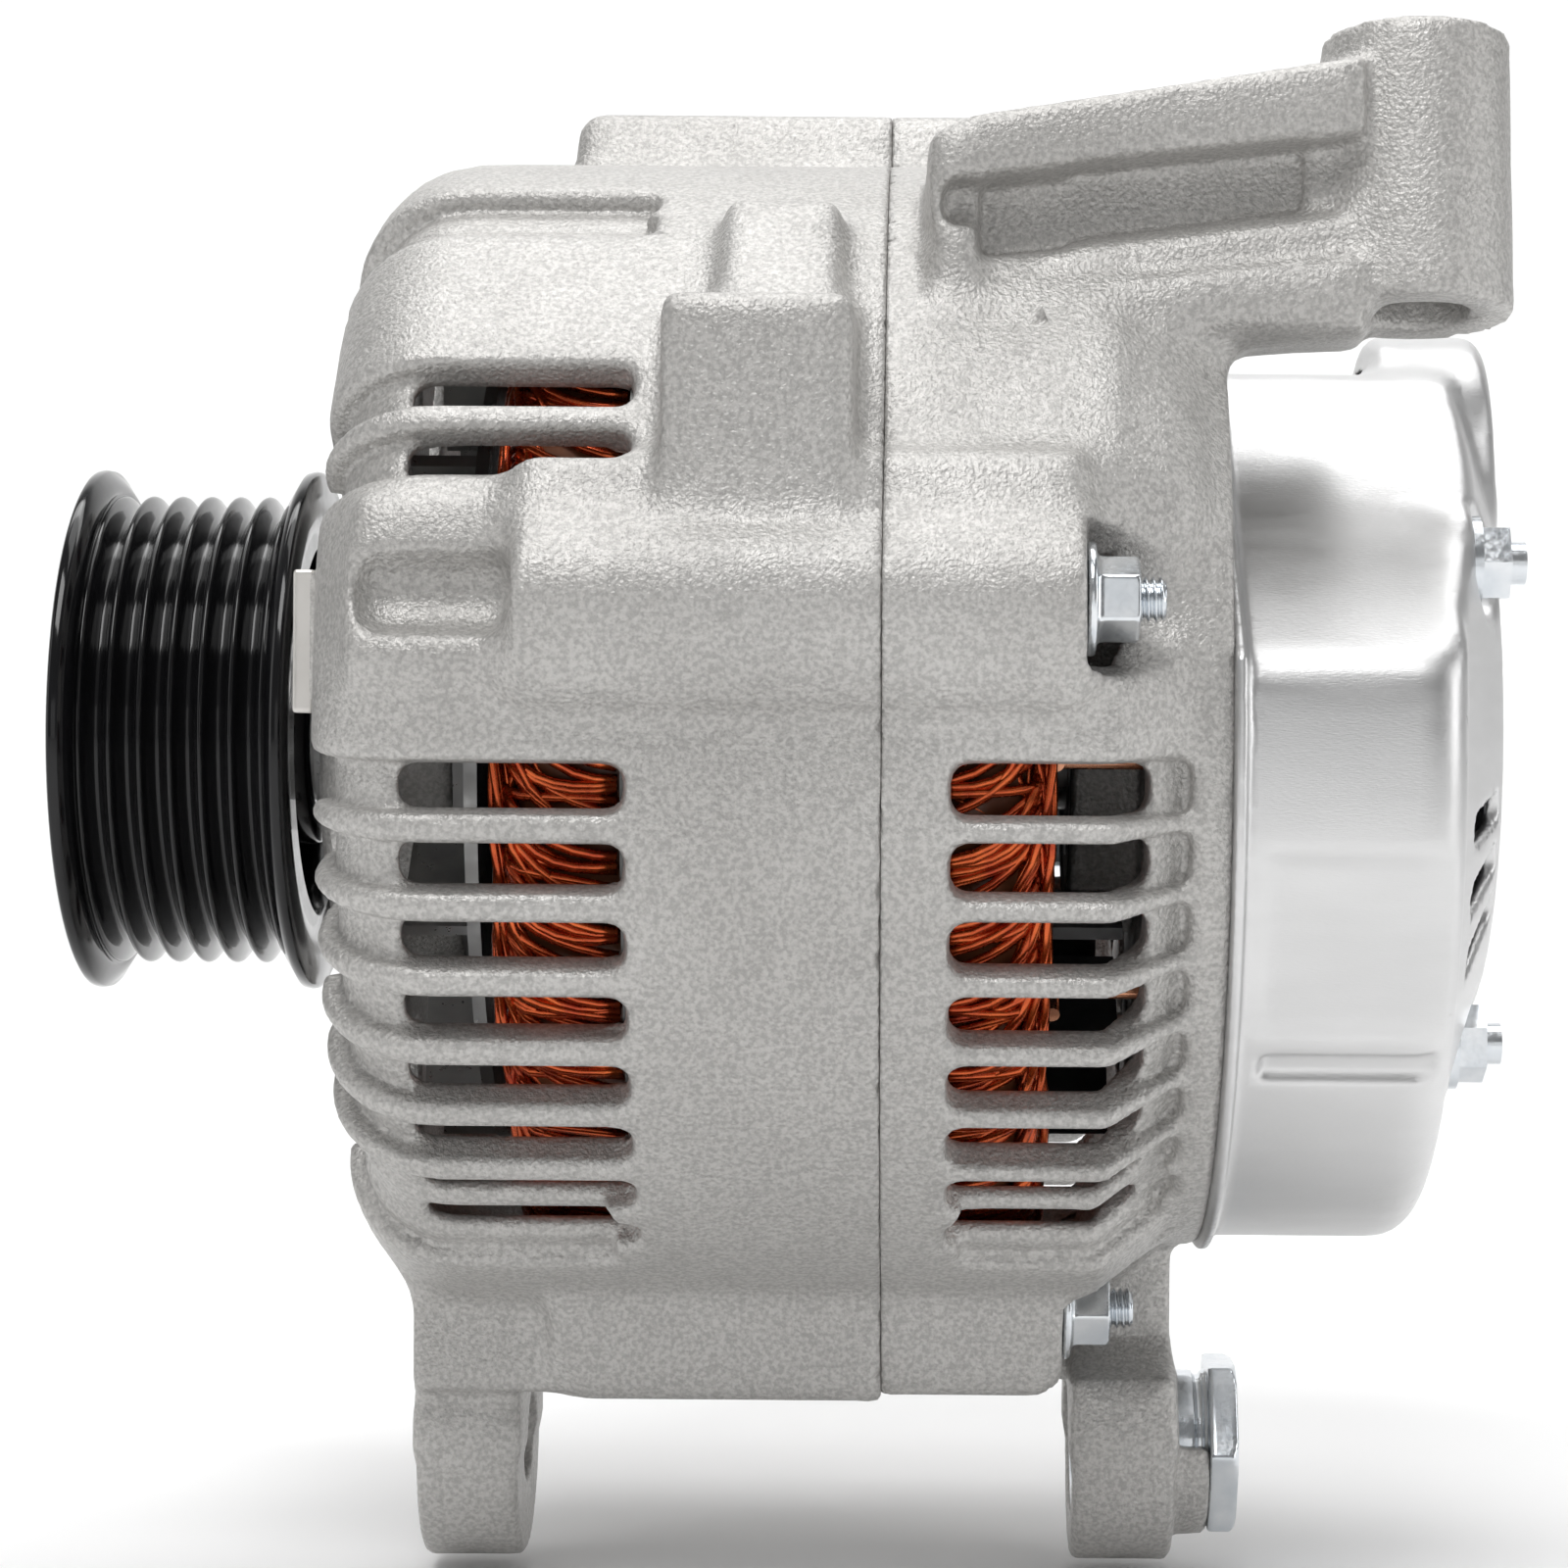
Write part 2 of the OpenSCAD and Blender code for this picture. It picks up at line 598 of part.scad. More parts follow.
inner_race = 3.2;
outer_race = 3.0;
module front_bearing_outer_ring() color([0.7, 0.7, 0.72]) on_shaft()
    race_ring(front_brg_x, front_bearing_w, front_pitch_r + outer_race, front_bearing_d / 2,
        front_pitch_r, front_ball_r);
module front_bearing_inner_ring() color([0.7, 0.7, 0.72]) on_shaft()
    race_ring(front_brg_x, front_bearing_w, shaft_d / 2, front_pitch_r - inner_race,
        front_pitch_r, front_ball_r);
module front_bearing_seals() color([0.12, 0.12, 0.12]) on_shaft()
    seal_pair(front_brg_x, front_bearing_w, front_pitch_r - inner_race + 0.35,
        front_pitch_r + outer_race - seat);
module front_bearing_balls() color([0.8, 0.8, 0.82]) on_shaft()
    ball_ring(front_brg_x, front_bearing_w, front_pitch_r, front_ball_r, front_ball_count);
module front_bearing_cage() color([0.7, 0.6, 0.35]) on_shaft()
    cage_ring(front_brg_x, front_bearing_w, front_pitch_r, front_ball_r, front_ball_count);

rear_race = 2.2;
module rear_bearing_outer_ring() color([0.7, 0.7, 0.72]) on_shaft()
    race_ring(rear_brg_x, rear_bearing_w, rear_pitch_r + rear_race, rear_bearing_d / 2,
        rear_pitch_r, rear_ball_r);
module rear_bearing_inner_ring() color([0.7, 0.7, 0.72]) on_shaft()
    race_ring(rear_brg_x, rear_bearing_w, rear_shaft_d / 2, rear_pitch_r - rear_race,
        rear_pitch_r, rear_ball_r);
module rear_bearing_seals() color([0.12, 0.12, 0.12]) on_shaft()
    seal_pair(rear_brg_x, rear_bearing_w, rear_pitch_r - rear_race + 0.35, rear_pitch_r + rear_race - seat);
module rear_bearing_balls() color([0.8, 0.8, 0.82]) on_shaft()
    ball_ring(rear_brg_x, rear_bearing_w, rear_pitch_r, rear_ball_r, rear_ball_count);
module rear_bearing_cage() color([0.7, 0.6, 0.35]) on_shaft()
    cage_ring(rear_brg_x, rear_bearing_w, rear_pitch_r, rear_ball_r, rear_ball_count);
module rear_bearing_sleeve() color([0.15, 0.15, 0.15]) on_shaft()
    ring(rear_brg_x + seat, rear_brg_end - seat, rear_bearing_d / 2 + seat, rear_bearing_d / 2 + sleeve_t);

// ---- Rectifier, regulator and brushes ----

module arc_plate(x0, x1, r_in, r_out) difference() {
    ring(x0, x1, r_in, r_out);
    // the open sector at the top, left for the regulator and the brush holder
    translate([x0 - cut, -2 * r_out, r_in * 0.62]) cube([x1 - x0 + 2 * cut, 2 * r_out, 2 * r_out]);
    translate([x0 - cut, -eps, r_in * 0.95]) cube([x1 - x0 + 2 * cut, 2 * r_out, 2 * r_out]);
    out_at(flat_angle) translate([x0 - cut, -2 * cover_r, -cover_r])
        cube([x1 - x0 + 2 * cut, 2 * cover_r - flat_r + cover_t + 1, 2 * cover_r]);
    down_at(cover_stud_turns[1], cover_stud_r) rod(x0 - cut, x1 + cut, cover_stud_d / 2 + 0.8);
    down_at(cover_stud_turns[2], cover_stud_r) rod(x0 - cut, x1 + cut, cover_stud_d / 2 + 0.8);
}

module negative_rectifier_plate() color([0.6, 0.6, 0.6]) on_shaft() difference() {
    arc_plate(negative_x, negative_x + fin_t, plate_in_r, cover_r - 7);
    for (a = negative_angles) down_at(a, diode_r)
        rod(negative_x - cut, negative_x + cut, diode_d / 2 + seat);
    for (a = lead_angles) out_at(a, lead_r) rod(negative_x - cut, negative_x + cut, 2 * lead_wire);
}

module positive_rectifier_plate() color([0.7, 0.7, 0.7]) on_shaft() difference() {
    arc_plate(positive_x, positive_x + fin_t, plate_in_r, cover_r - 11);
    for (a = positive_angles) down_at(a, diode_r)
        rod(positive_x - cut, positive_x + cut, diode_d / 2 + seat);
    down_at(output_angle, output_r) rod(positive_x - cut, positive_x + cut, output_stud_d / 2 + seat);
}

module diode(x0, body, lead) {
    rod(x0, x0 + body, diode_d / 2);
    rod(min(x0, x0 + body + lead), max(x0 + body, x0 + body + lead), 0.8);
}

module negative_diodes() color([0.75, 0.75, 0.72]) on_shaft() for (a = negative_angles)
    down_at(a, diode_r) diode(negative_x + 0.4, diode_h, 1.8);
module positive_diodes() color([0.75, 0.75, 0.72]) on_shaft() for (a = positive_angles)
    down_at(a, diode_r) diode(positive_x + fin_t - 0.4 - diode_h, diode_h, 1.8);

module terminal_frame() color([0.12, 0.12, 0.12]) on_shaft() difference() {
    arc_plate(negative_x + fin_t + seat, positive_x - seat, plate_in_r + 2, cover_r - 6.5);
    for (a = concat(negative_angles, positive_angles)) down_at(a, diode_r)
        rod(negative_x, positive_x + cut, diode_d / 2 + 0.3);
    for (a = lead_angles) out_at(a, lead_r) rod(negative_x, positive_x + cut, lead_wire + seat);
    down_at(output_angle, output_r) rod(negative_x, positive_x + cut, output_stud_d / 2 + seat);
}

module regulator() color([0.1, 0.1, 0.1]) on_shaft()
    translate([rear_face + hub_rise + rest_gap, -9 - regulator_size[1], 18.5]) cube(regulator_size);

module at_brushes() for (x = [ring_a_x, ring_b_x]) translate([x, 0, 0]) children();

module brush_holder() color([0.15, 0.14, 0.13]) on_shaft() difference() {
    translate([ring_a_x - slip_ring_w / 2 - holder_wall, -holder_half_w, holder_low])
        cube([ring_b_x - ring_a_x + slip_ring_w + 2 * holder_wall, 2 * holder_half_w,
            holder_top - holder_low]);
    at_brushes() translate([-brush_w / 2 - brush_side, -brush_d / 2 - brush_side, 0])
        cube([brush_w + 2 * brush_side, brush_d + 2 * brush_side, holder_top - holder_roof]);
}

module slip_ring_guard() color([0.2, 0.2, 0.2]) on_shaft() difference() {
    ring(rear_face + 2.3, shaft_end + 1.5, slip_r + 2, slip_r + 3.4);
    translate([0, -holder_half_w - rest_gap, 0]) cube([cover_top, 2 * (holder_half_w + rest_gap), cover_r]);
}

module brush(x) on_shaft() difference() {
    translate([x - brush_w / 2, -brush_d / 2, brush_low])
        cube([brush_w, brush_d, slip_r + brush_len - brush_low]);
    rod(x - brush_w, x + brush_w, slip_r + brush_gap);
}
module front_brush() color([0.18, 0.17, 0.17]) brush(ring_a_x);
module rear_brush() color([0.18, 0.17, 0.17]) brush(ring_b_x);

// A round-wire coil along Z: rings of points follow the helix, and quads join them
module coil(z0, z1, turns, r, wire, steps = 12, sides = 6) {
    n = turns * steps;
    points = [for (i = [0:n]) let (a = 360 * i / steps, z = z0 + wire + (z1 - z0 - 2 * wire) * i / n)
        for (j = [0:sides - 1]) let (b = 360 * j / sides)
            [(r + wire * cos(b)) * cos(a), (r + wire * cos(b)) * sin(a), z + wire * sin(b)]];
    walls = [for (i = [0:n - 1]) for (j = [0:sides - 1]) let (k = (j + 1) % sides)
        [i * sides + j, (i + 1) * sides + j, (i + 1) * sides + k, i * sides + k]];
    first = [for (j = [0:sides - 1]) j];
    last = [for (j = [sides - 1:-1:0]) n * sides + j];
    polyhedron(points = points, faces = concat([first], walls, [last]));
}

module brush_spring(x) on_shaft() translate([x, 0, 0])
    coil(slip_r + brush_len + seat, holder_top - holder_roof - seat, spring_turns, spring_r, spring_wire);
module front_brush_spring() color([0.7, 0.7, 0.7]) brush_spring(ring_a_x);
module rear_brush_spring() color([0.7, 0.7, 0.7]) brush_spring(ring_b_x);

// ---- Terminals and cover fasteners ----

module connector_shell() color([0.08, 0.08, 0.08]) on_shaft()
    translate([negative_x + 12, connector_y, connector_z]) difference() {
        cube([connector_size[0] - 12, connector_size[1], connector_size[2]]);
        translate([9, connector_wall, connector_wall])
            cube([connector_size[0], connector_size[1] - 2 * connector_wall,
                connector_size[2] - 2 * connector_wall]);
    }

module connector_pins() color([0.8, 0.75, 0.6]) on_shaft() for (k = [-1:1])
    translate([negative_x + 21 + seat, connector_y + connector_size[1] / 2 + 5 * k - 0.8,
        connector_z + connector_size[2] / 2 - 0.4]) cube([6, 1.6, 0.8]);

module output_stud() color([0.75, 0.72, 0.6]) on_shaft() down_at(output_angle, output_r)
    rod(positive_x, output_end, output_stud_d / 2);

module output_nut() color([0.78, 0.8, 0.82]) on_shaft() down_at(output_angle, output_r) difference() {
    hex_rod(output_seat_x + seat, output_seat_x + output_nut_h, 10);
    rod(output_seat_x - cut, output_seat_x + 2 * cut, output_stud_d / 2 + seat);
}

module output_insulator() color([0.1, 0.1, 0.1]) on_shaft() down_at(output_angle, output_r) difference() {
    rod(positive_x + fin_t + seat, output_seat_x, 7.2);
    rod(positive_x, output_seat_x + cut, output_stud_d / 2 + seat);
}

module cover_studs() color([0.78, 0.8, 0.82]) on_shaft() for (a = cover_stud_angles)
    out_at(a, cover_stud_r) {
        rod(rear_inner, pad_x + 6.5, cover_stud_d / 2 - seat);
        rod(rear_face + seat, negative_x - seat, 4.5);
    }

module cover_nuts() color([0.78, 0.8, 0.82]) on_shaft() for (a = cover_stud_angles)
    out_at(a, cover_stud_r) difference() {
        union() {
            rod(pad_x + seat, pad_x + 1.2, 5.4);
            hex_rod(pad_x + 1, pad_x + cover_nut_h, cover_nut_af);
        }
        rod(pad_x - cut, pad_x + 2 * cut, cover_stud_d / 2);
    }

module pivot_bush() color([0.78, 0.82, 0.86]) translate([ear_to_seam, 0, 0]) difference() {
    union() {
        rod(rear_ear_x + 0.2, rear_ear_x + rear_ear_t + collar_t + 1, bush_d / 2);
        hex_rod(rear_ear_x + rear_ear_t + collar_t + seat, rear_ear_x + rear_ear_t + collar_t + bush_head_t,
            bush_head_af);
    }
    rod(rear_ear_x - cut, rear_ear_x + 40, pivot_bore_d / 2);
}

// ---- Rotor ----

module rotor_shaft() color([0.72, 0.72, 0.74]) on_shaft() spin() polygon([
    [0, pulley_front + 1], [thread_r - seat, pulley_front + 1], [thread_r - seat, web_front],
    [shaft_d / 2 - seat, web_front], [shaft_d / 2 - seat, front_brg_end],
    [pole_bore_r + 2, front_brg_end], [pole_bore_r + 2, pole_front - seat],
    [pole_bore_r, pole_front - seat], [pole_bore_r, pole_rear], [rear_shaft_d / 2 + 1.5, pole_rear],
    [rear_shaft_d / 2 + 1.5, rear_brg_x], [rear_shaft_d / 2 - seat, rear_brg_x],
    [rear_shaft_d / 2 - seat, rear_brg_end + 1], [ring_core_r - seat, rear_brg_end + 1],
    [ring_core_r - seat, shaft_end], [0, shaft_end]]);

// One pole piece: a disc, a half core and its claws, drawn from its outer face towards +X
module pole(first_angle) {
    tip = rotor_len - 3.5;
    ring(0, rotor_len / 2 - seat, pole_bore_r + seat, pole_core_r);
    ring(0, disc_t, pole_bore_r + seat, pole_core_r + 6);
    intersection() {
        for (k = [0:claw_count - 1]) out_at(first_angle + 360 / claw_count * k)
            rotate([90, 0, 0]) linear_extrude(height = rotor_r + cut)
                polygon([[-cut, -13.2], [0, -12], [tip, -4.5], [tip, 4.5], [0, 12], [-cut, 13.2]]);
        spin() polygon([[pole_core_r - 4, 0], [rotor_r - 2, 0], [rotor_r, 2], [rotor_r, tip],
            [rotor_r - 4.5, tip], [rotor_r - claw_t, disc_t], [pole_core_r - 4, disc_t]]);
    }
}
module front_pole() color([0.3, 0.3, 0.3]) on_shaft() translate([pole_front, 0, 0]) pole(0);
module rear_pole() color([0.3, 0.3, 0.3]) on_shaft() translate([pole_rear, 0, 0]) mirror([1, 0, 0]) pole(30);

bobbin_t = 1.2;
module field_coil() color([0.6, 0.3, 0.1]) on_shaft()
    ring(pole_front + disc_t + bobbin_t + 0.2, pole_rear - disc_t - bobbin_t - 0.2,
        pole_core_r + bobbin_t + 0.2, coil_r);
module coil_bobbin() color([0.85, 0.82, 0.75]) on_shaft() {
    ring(pole_front + disc_t + seat, pole_rear - disc_t - seat, pole_core_r + seat, pole_core_r + bobbin_t);
    ring(pole_front + disc_t + seat, pole_front + disc_t + bobbin_t, pole_core_r + seat, coil_r);
    ring(pole_rear - disc_t - bobbin_t, pole_rear - disc_t - seat, pole_core_r + seat, coil_r);
}

module blades(count, x0, x1, lean) for (k = [0:count - 1]) out_at(360 / count * k + 5 * (k % 3))
    translate([x0, -fan_r + blade_inset, 0]) rotate([lean, 0, 0])
        cube([x1 - x0, fan_r - blade_inset - blade_in_r, blade_t]);

module front_fan() color([0.4, 0.4, 0.42]) on_shaft() {
    spin() polygon([[pole_bore_r + 2.3, pole_front - seat], [25, pole_front - seat],
        [32, pole_front - fan_dish], [fan_r, pole_front - fan_dish],
        [fan_r, pole_front - fan_dish - fan_disc_t], [31.4, pole_front - fan_dish - fan_disc_t],
        [24.4, pole_front - fan_disc_t], [pole_bore_r + 2.3, pole_front - fan_disc_t]]);
    blades(front_blades, pole_front - front_fan_h, pole_front - fan_dish - 0.5, 14);
}

module rear_fan() color([0.12, 0.12, 0.12]) on_shaft() {
    ring(pole_rear + seat, pole_rear + fan_disc_t, rear_shaft_d / 2 + 1.8, fan_r);
    blades(rear_blades, pole_rear + 0.9, pole_rear + rear_fan_h, -14);
}

module slip_rings() color([0.75, 0.5, 0.3]) on_shaft()
    for (x = [ring_a_x, ring_b_x]) ring(x - slip_ring_w / 2, x + slip_ring_w / 2, ring_core_r + 1.2, slip_r);

module slip_ring_insulator() color([0.1, 0.1, 0.1]) on_shaft() difference() {
    ring(rear_brg_end + 1.2, shaft_end, ring_core_r, slip_r - 0.6);
    for (x = [ring_a_x, ring_b_x])
        ring(x - slip_ring_w / 2 - seat, x + slip_ring_w / 2 + seat, ring_core_r + 1.2 - seat, slip_r + cut);
}

// ---- Pulley ----

crest_r = crest_d / 2;
root_r = crest_r - groove_depth;
function rib_points() = [for (k = [0:groove_count - 1]) let (c = first_crest + groove_pitch * k)
    for (p = [[crest_r, c + crest_flat / 2], [root_r, c + (groove_pitch - root_flat) / 2],
        [root_r, c + (groove_pitch + root_flat) / 2], [crest_r, c + groove_pitch - crest_flat / 2]]) p];

module pulley() color([0.03, 0.03, 0.03]) on_shaft() spin() polygon(concat(
    [[nut_recess_r, pulley_front + 0.6], [nut_recess_r + 2, pulley_front],
     [pulley_d / 2 - 0.8, pulley_front], [pulley_d / 2, pulley_front + 0.8],
     [pulley_d / 2, pulley_front + flange_t - 0.4], [crest_r, first_crest - crest_flat / 2]],
    rib_points(),
    [[crest_r, last_crest + crest_flat / 2], [pulley_d / 2, pulley_rear - flange_t + 0.4],
     [pulley_d / 2, pulley_rear - 0.8], [pulley_d / 2 - 0.8, pulley_rear], [rim_in_r, pulley_rear],
     [rim_in_r, web_front + 6], [hub_r, web_front + 6], [hub_r, pulley_rear + 0.5],
     [shaft_d / 2, pulley_rear + 0.5], [shaft_d / 2, web_front + seat], [nut_recess_r, web_front + seat]]));

module pulley_nut() color([0.5, 0.5, 0.48]) on_shaft() difference() {
    union() {
        hex_rod(web_front - nut_h, web_front - 1.5, nut_af);
        rod(web_front - 1.7, web_front - seat, 13.5);
    }
    rod(web_front - nut_h - cut, web_front + cut, thread_r);
}

module pulley_spacer() color([0.6, 0.6, 0.6]) on_shaft()
    ring(pulley_rear + 0.5 + seat, front_brg_x - seat, shaft_d / 2, front_pitch_r - inner_race - 0.6);

front_housing();
rear_housing();
rear_cover();
stator_core();
stator_winding();
slot_liners();
stator_leads();
through_studs();
flange_nuts();
bearing_retainer();
retainer_screws();
front_bearing_outer_ring();
front_bearing_seals();
rear_bearing_outer_ring();
rear_bearing_seals();
rear_bearing_sleeve();
negative_rectifier_plate();
positive_rectifier_plate();
negative_diodes();
positive_diodes();
terminal_frame();
regulator();
brush_holder();
slip_ring_guard();
connector_shell();
connector_pins();
output_stud();
output_nut();
output_insulator();
cover_studs();
cover_nuts();
pivot_bush();
rotor_shaft();
front_pole();
rear_pole();
field_coil();
coil_bobbin();
front_fan();
rear_fan();
slip_rings();
slip_ring_insulator();
pulley();
pulley_nut();
pulley_spacer();
front_bearing_inner_ring();
rear_bearing_inner_ring();
front_bearing_balls();
front_bearing_cage();
rear_bearing_balls();
rear_bearing_cage();
front_brush();
rear_brush();
front_brush_spring();
rear_brush_spring();
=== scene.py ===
import math

import bpy
import numpy as np
import openvdb as vdb
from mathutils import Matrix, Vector


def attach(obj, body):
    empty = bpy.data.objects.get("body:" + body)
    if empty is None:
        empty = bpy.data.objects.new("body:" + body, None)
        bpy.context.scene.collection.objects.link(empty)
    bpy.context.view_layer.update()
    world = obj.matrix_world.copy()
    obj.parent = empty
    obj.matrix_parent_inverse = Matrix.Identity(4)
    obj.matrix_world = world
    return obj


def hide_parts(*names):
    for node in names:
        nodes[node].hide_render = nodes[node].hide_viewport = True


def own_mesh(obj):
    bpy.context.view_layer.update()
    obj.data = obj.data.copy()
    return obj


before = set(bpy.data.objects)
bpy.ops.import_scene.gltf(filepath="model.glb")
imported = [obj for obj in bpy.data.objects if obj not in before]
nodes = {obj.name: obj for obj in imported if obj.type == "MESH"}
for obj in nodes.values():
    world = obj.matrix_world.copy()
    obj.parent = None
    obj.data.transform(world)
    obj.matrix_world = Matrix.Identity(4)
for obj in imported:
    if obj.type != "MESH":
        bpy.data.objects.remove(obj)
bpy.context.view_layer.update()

# Lengths here are in millimetres from the seam between the housings, on the shaft's axis:
# x along the shaft to the rear, y away from the viewer, z up. Angles run from -y towards +z.
SEAM = np.array([49.7, 0.0, 87.0])
BORE_R, INNER_R, COVER_R = 65.9, 64.9, 61.0
STUD_R, STUDS = 70.0, [12, 102, 192, 282]
STUD_BOSS_R, NUT_SEAT = 7.8, 21.5
COVER_STUDS, COVER_STUD_R = (29.4, -61.6, 185), 41
COVER_FLAT_ANGLE, COVER_TOP = 50.2, 43.5
SHAFT_H = 87.0
EAR_R, PIVOT_R = 14.3, 5.25
BOSS, BOSS_TILT = (60.0, -38.5, 63.5), 9
FRONT_RING_X, REAR_RING_X = 43.5, 51.5
SPRING_LOW, SPRING_HIGH, BRUSH_TRAVEL = 20.25, 33.45, 6
FAR = 50.0


# ---- Solid shapes as distance fields ----


def soft_min(a, b, k):
    """The smaller of two distances, with a fillet of about k where they meet."""
    if k <= 0:
        return np.minimum(a, b)
    h = np.maximum(k - np.abs(a - b), 0) / k
    return np.minimum(a, b) - h * h * k / 4


class Solid:
    """A solid held as signed distances on a grid, built by adding and cutting shapes."""

    def __init__(self, lo, hi, step):
        self.step, self.lo = step, np.array(lo, float)
        count = np.ceil((np.array(hi) - self.lo) / step).astype(int) + 1
        self.axes = [(self.lo[i] + step * np.arange(count[i])).astype(np.float32) for i in range(3)]
        self.f = np.full(count, FAR, np.float32)

    def near(self, lo, hi, pad):
        cut = []
        for i in range(3):
            a = int((lo[i] - pad - self.lo[i]) / self.step)
            b = int((hi[i] + pad - self.lo[i]) / self.step) + 2
            cut.append(slice(max(a, 0), max(min(b, len(self.axes[i])), 0)))
        x, y, z = (self.axes[i][cut[i]] for i in range(3))
        return tuple(cut), x[:, None, None], y[None, :, None], z[None, None, :]

    def add(self, shape, k=0.0):
        cut, x, y, z = self.near(shape[0], shape[1], max(3 * self.step, k) + self.step)
        if min(x.size, y.size, z.size):
            self.f[cut] = soft_min(self.f[cut], shape[2](x, y, z), k)

    def cut(self, shape, k=0.0):
        cut, x, y, z = self.near(shape[0], shape[1], max(3 * self.step, k) + self.step)
        if min(x.size, y.size, z.size):
            self.f[cut] = -soft_min(-self.f[cut], shape[2](x, y, z), k)

    def mesh(self, name, adaptive=0.0):
        band = 3 * self.step
        grid = vdb.FloatGrid(background=band)
        grid.copyFromArray(np.clip(self.f, -band, band))
        points, tris, quads = grid.convertToPolygons(isovalue=0.0, adaptivity=adaptive)
        faces = [tuple(int(i) for i in q[::-1]) for q in quads]
        faces += [tuple(int(i) for i in t[::-1]) for t in tris]
        return make_mesh(name, points * self.step + self.lo, faces)


def edge_box(parts, r):
    """Distance to a box given its distances along each axis, with edges rounded by r."""
    inside = parts[0] + r
    for p in parts[1:]:
        inside = np.maximum(inside, p + r)
    outside = 0
    for p in parts:
        outside = outside + np.maximum(p + r, 0) ** 2
    return np.minimum(inside, 0) + np.sqrt(outside) - r


def slab(lo, hi, r=0.0):
    mid = [(a + b) / 2 for a, b in zip(lo, hi)]
    half = [(b - a) / 2 for a, b in zip(lo, hi)]

    def dist(x, y, z):
        return edge_box([np.abs(p - m) - h for p, m, h in zip((x, y, z), mid, half)], r)

    return lo, hi, dist


def rod(x0, x1, radius, y=0.0, z=0.0, r=0.0):
    lo, hi = (x0, y - radius, z - radius), (x1, y + radius, z + radius)

    def dist(px, py, pz):
        across = np.sqrt((py - y) ** 2 + (pz - z) ** 2) - radius
        return edge_box([across, np.abs(px - (x0 + x1) / 2) - (x1 - x0) / 2], r)

    return lo, hi, dist


def out_place(angle, r, side=0.0):
    """The y and z of a point at an angle above the near side, r out from the shaft."""
    a = math.radians(angle)
    return -r * math.cos(a) + side * math.sin(a), r * math.sin(a) + side * math.cos(a)


def out_rod(angle, r_out, x0, x1, radius, r=0.0):
    y, z = out_place(angle, r_out)
    return rod(x0, x1, radius, y, z, r)


def out_slab(angle, x0, x1, width, r0, r1, r=0.0, lean=0.0):
    """A box across the shell at an angle: width along the shell, from r0 out to r1."""
    a = math.radians(angle)
    ends = [out_place(angle, q, s) for q in (r0, r1) for s in (-width / 2, width / 2)]
    lo = (x0, min(e[0] for e in ends), min(e[1] for e in ends))
    hi = (x1, max(e[0] for e in ends), max(e[1] for e in ends))

    def dist(x, y, z):
        out = -y * math.cos(a) + z * math.sin(a)
        side = y * math.sin(a) + z * math.cos(a) + lean * (x - x0)
        return edge_box([np.abs(x - (x0 + x1) / 2) - (x1 - x0) / 2, np.abs(side) - width / 2,
                         np.abs(out - (r0 + r1) / 2) - (r1 - r0) / 2], r)

    return lo, hi, dist


def outline_distance(points, u, v):
    """Signed distance from each (u, v) to a closed outline."""
    p = np.array(points, float)
    best = np.full(u.shape, 1e9)
    inside = np.zeros(u.shape, bool)
    for a, b in zip(p, np.roll(p, -1, axis=0)):
        e, wu, wv = b - a, u - a[0], v - a[1]
        t = np.clip((wu * e[0] + wv * e[1]) / max(e @ e, 1e-12), 0, 1)
        best = np.minimum(best, (wu - e[0] * t) ** 2 + (wv - e[1] * t) ** 2)
        crosses = (a[1] > v) != (b[1] > v)
        with np.errstate(divide="ignore", invalid="ignore"):
            at = a[0] + (v - a[1]) * e[0] / (e[1] if e[1] else 1e-12)
        inside ^= crosses & (u < at)
    return np.where(inside, -1, 1) * np.sqrt(best)


def softened(table, reach):
    """The table averaged over a square of that many cells each way, which rounds corners."""
    for axis in (0, 1):
        padded = np.concatenate([np.take(table, [0] * reach, axis), table,
                                 np.take(table, [-1] * reach, axis)], axis)
        total = np.cumsum(padded, axis)
        total = np.concatenate([np.zeros_like(np.take(total, [0], axis)), total], axis)
        width = 2 * reach + 1
        n = table.shape[axis]
        table = (np.take(total, range(width, width + n), axis)
                 - np.take(total, range(n), axis)) / width
    return table


def table_lookup(table, u0, v0, step, u, v):
    i = np.clip((u - u0) / step, 0, table.shape[0] - 1.001)
    j = np.clip((v - v0) / step, 0, table.shape[1] - 1.001)
    i0, j0 = i.astype(np.int32), j.astype(np.int32)
    fi, fj = (i - i0).astype(np.float32), (j - j0).astype(np.float32)
    return ((table[i0, j0] * (1 - fi) + table[i0 + 1, j0] * fi) * (1 - fj)
            + (table[i0, j0 + 1] * (1 - fi) + table[i0 + 1, j0 + 1] * fi) * fj)


def outline_table(points, reach):
    p = np.array(points, float)
    step, lo, hi = 0.25, p.min(0) - 6, p.max(0) + 6
    u = np.arange(lo[0], hi[0], step)
    v = np.arange(lo[1], hi[1], step)
    table = outline_distance(points, u[:, None] + 0 * v[None], v[None] + 0 * u[:, None])
    if reach:
        table = softened(table, reach)
    return table.astype(np.float32), lo, step


def lathe(points, reach=0):
    """An outline of (radius, x) points turned round the shaft."""
    mirrored = points + [(-r, x) for r, x in reversed(points)]
    table, lo, step = outline_table(mirrored, reach)
    radii, xs = zip(*points)
    top = max(radii)

    def dist(x, y, z):
        r = np.sqrt(y * y + z * z)
        out = np.empty(np.broadcast_shapes(x.shape, r.shape), np.float32)
        for i in range(x.shape[0]):
            out[i] = table_lookup(table, lo[0], lo[1], step, r[0], np.full_like(r[0], x[i, 0, 0]))
        return out

    return (min(xs), -top, -top), (max(xs), top, top), dist


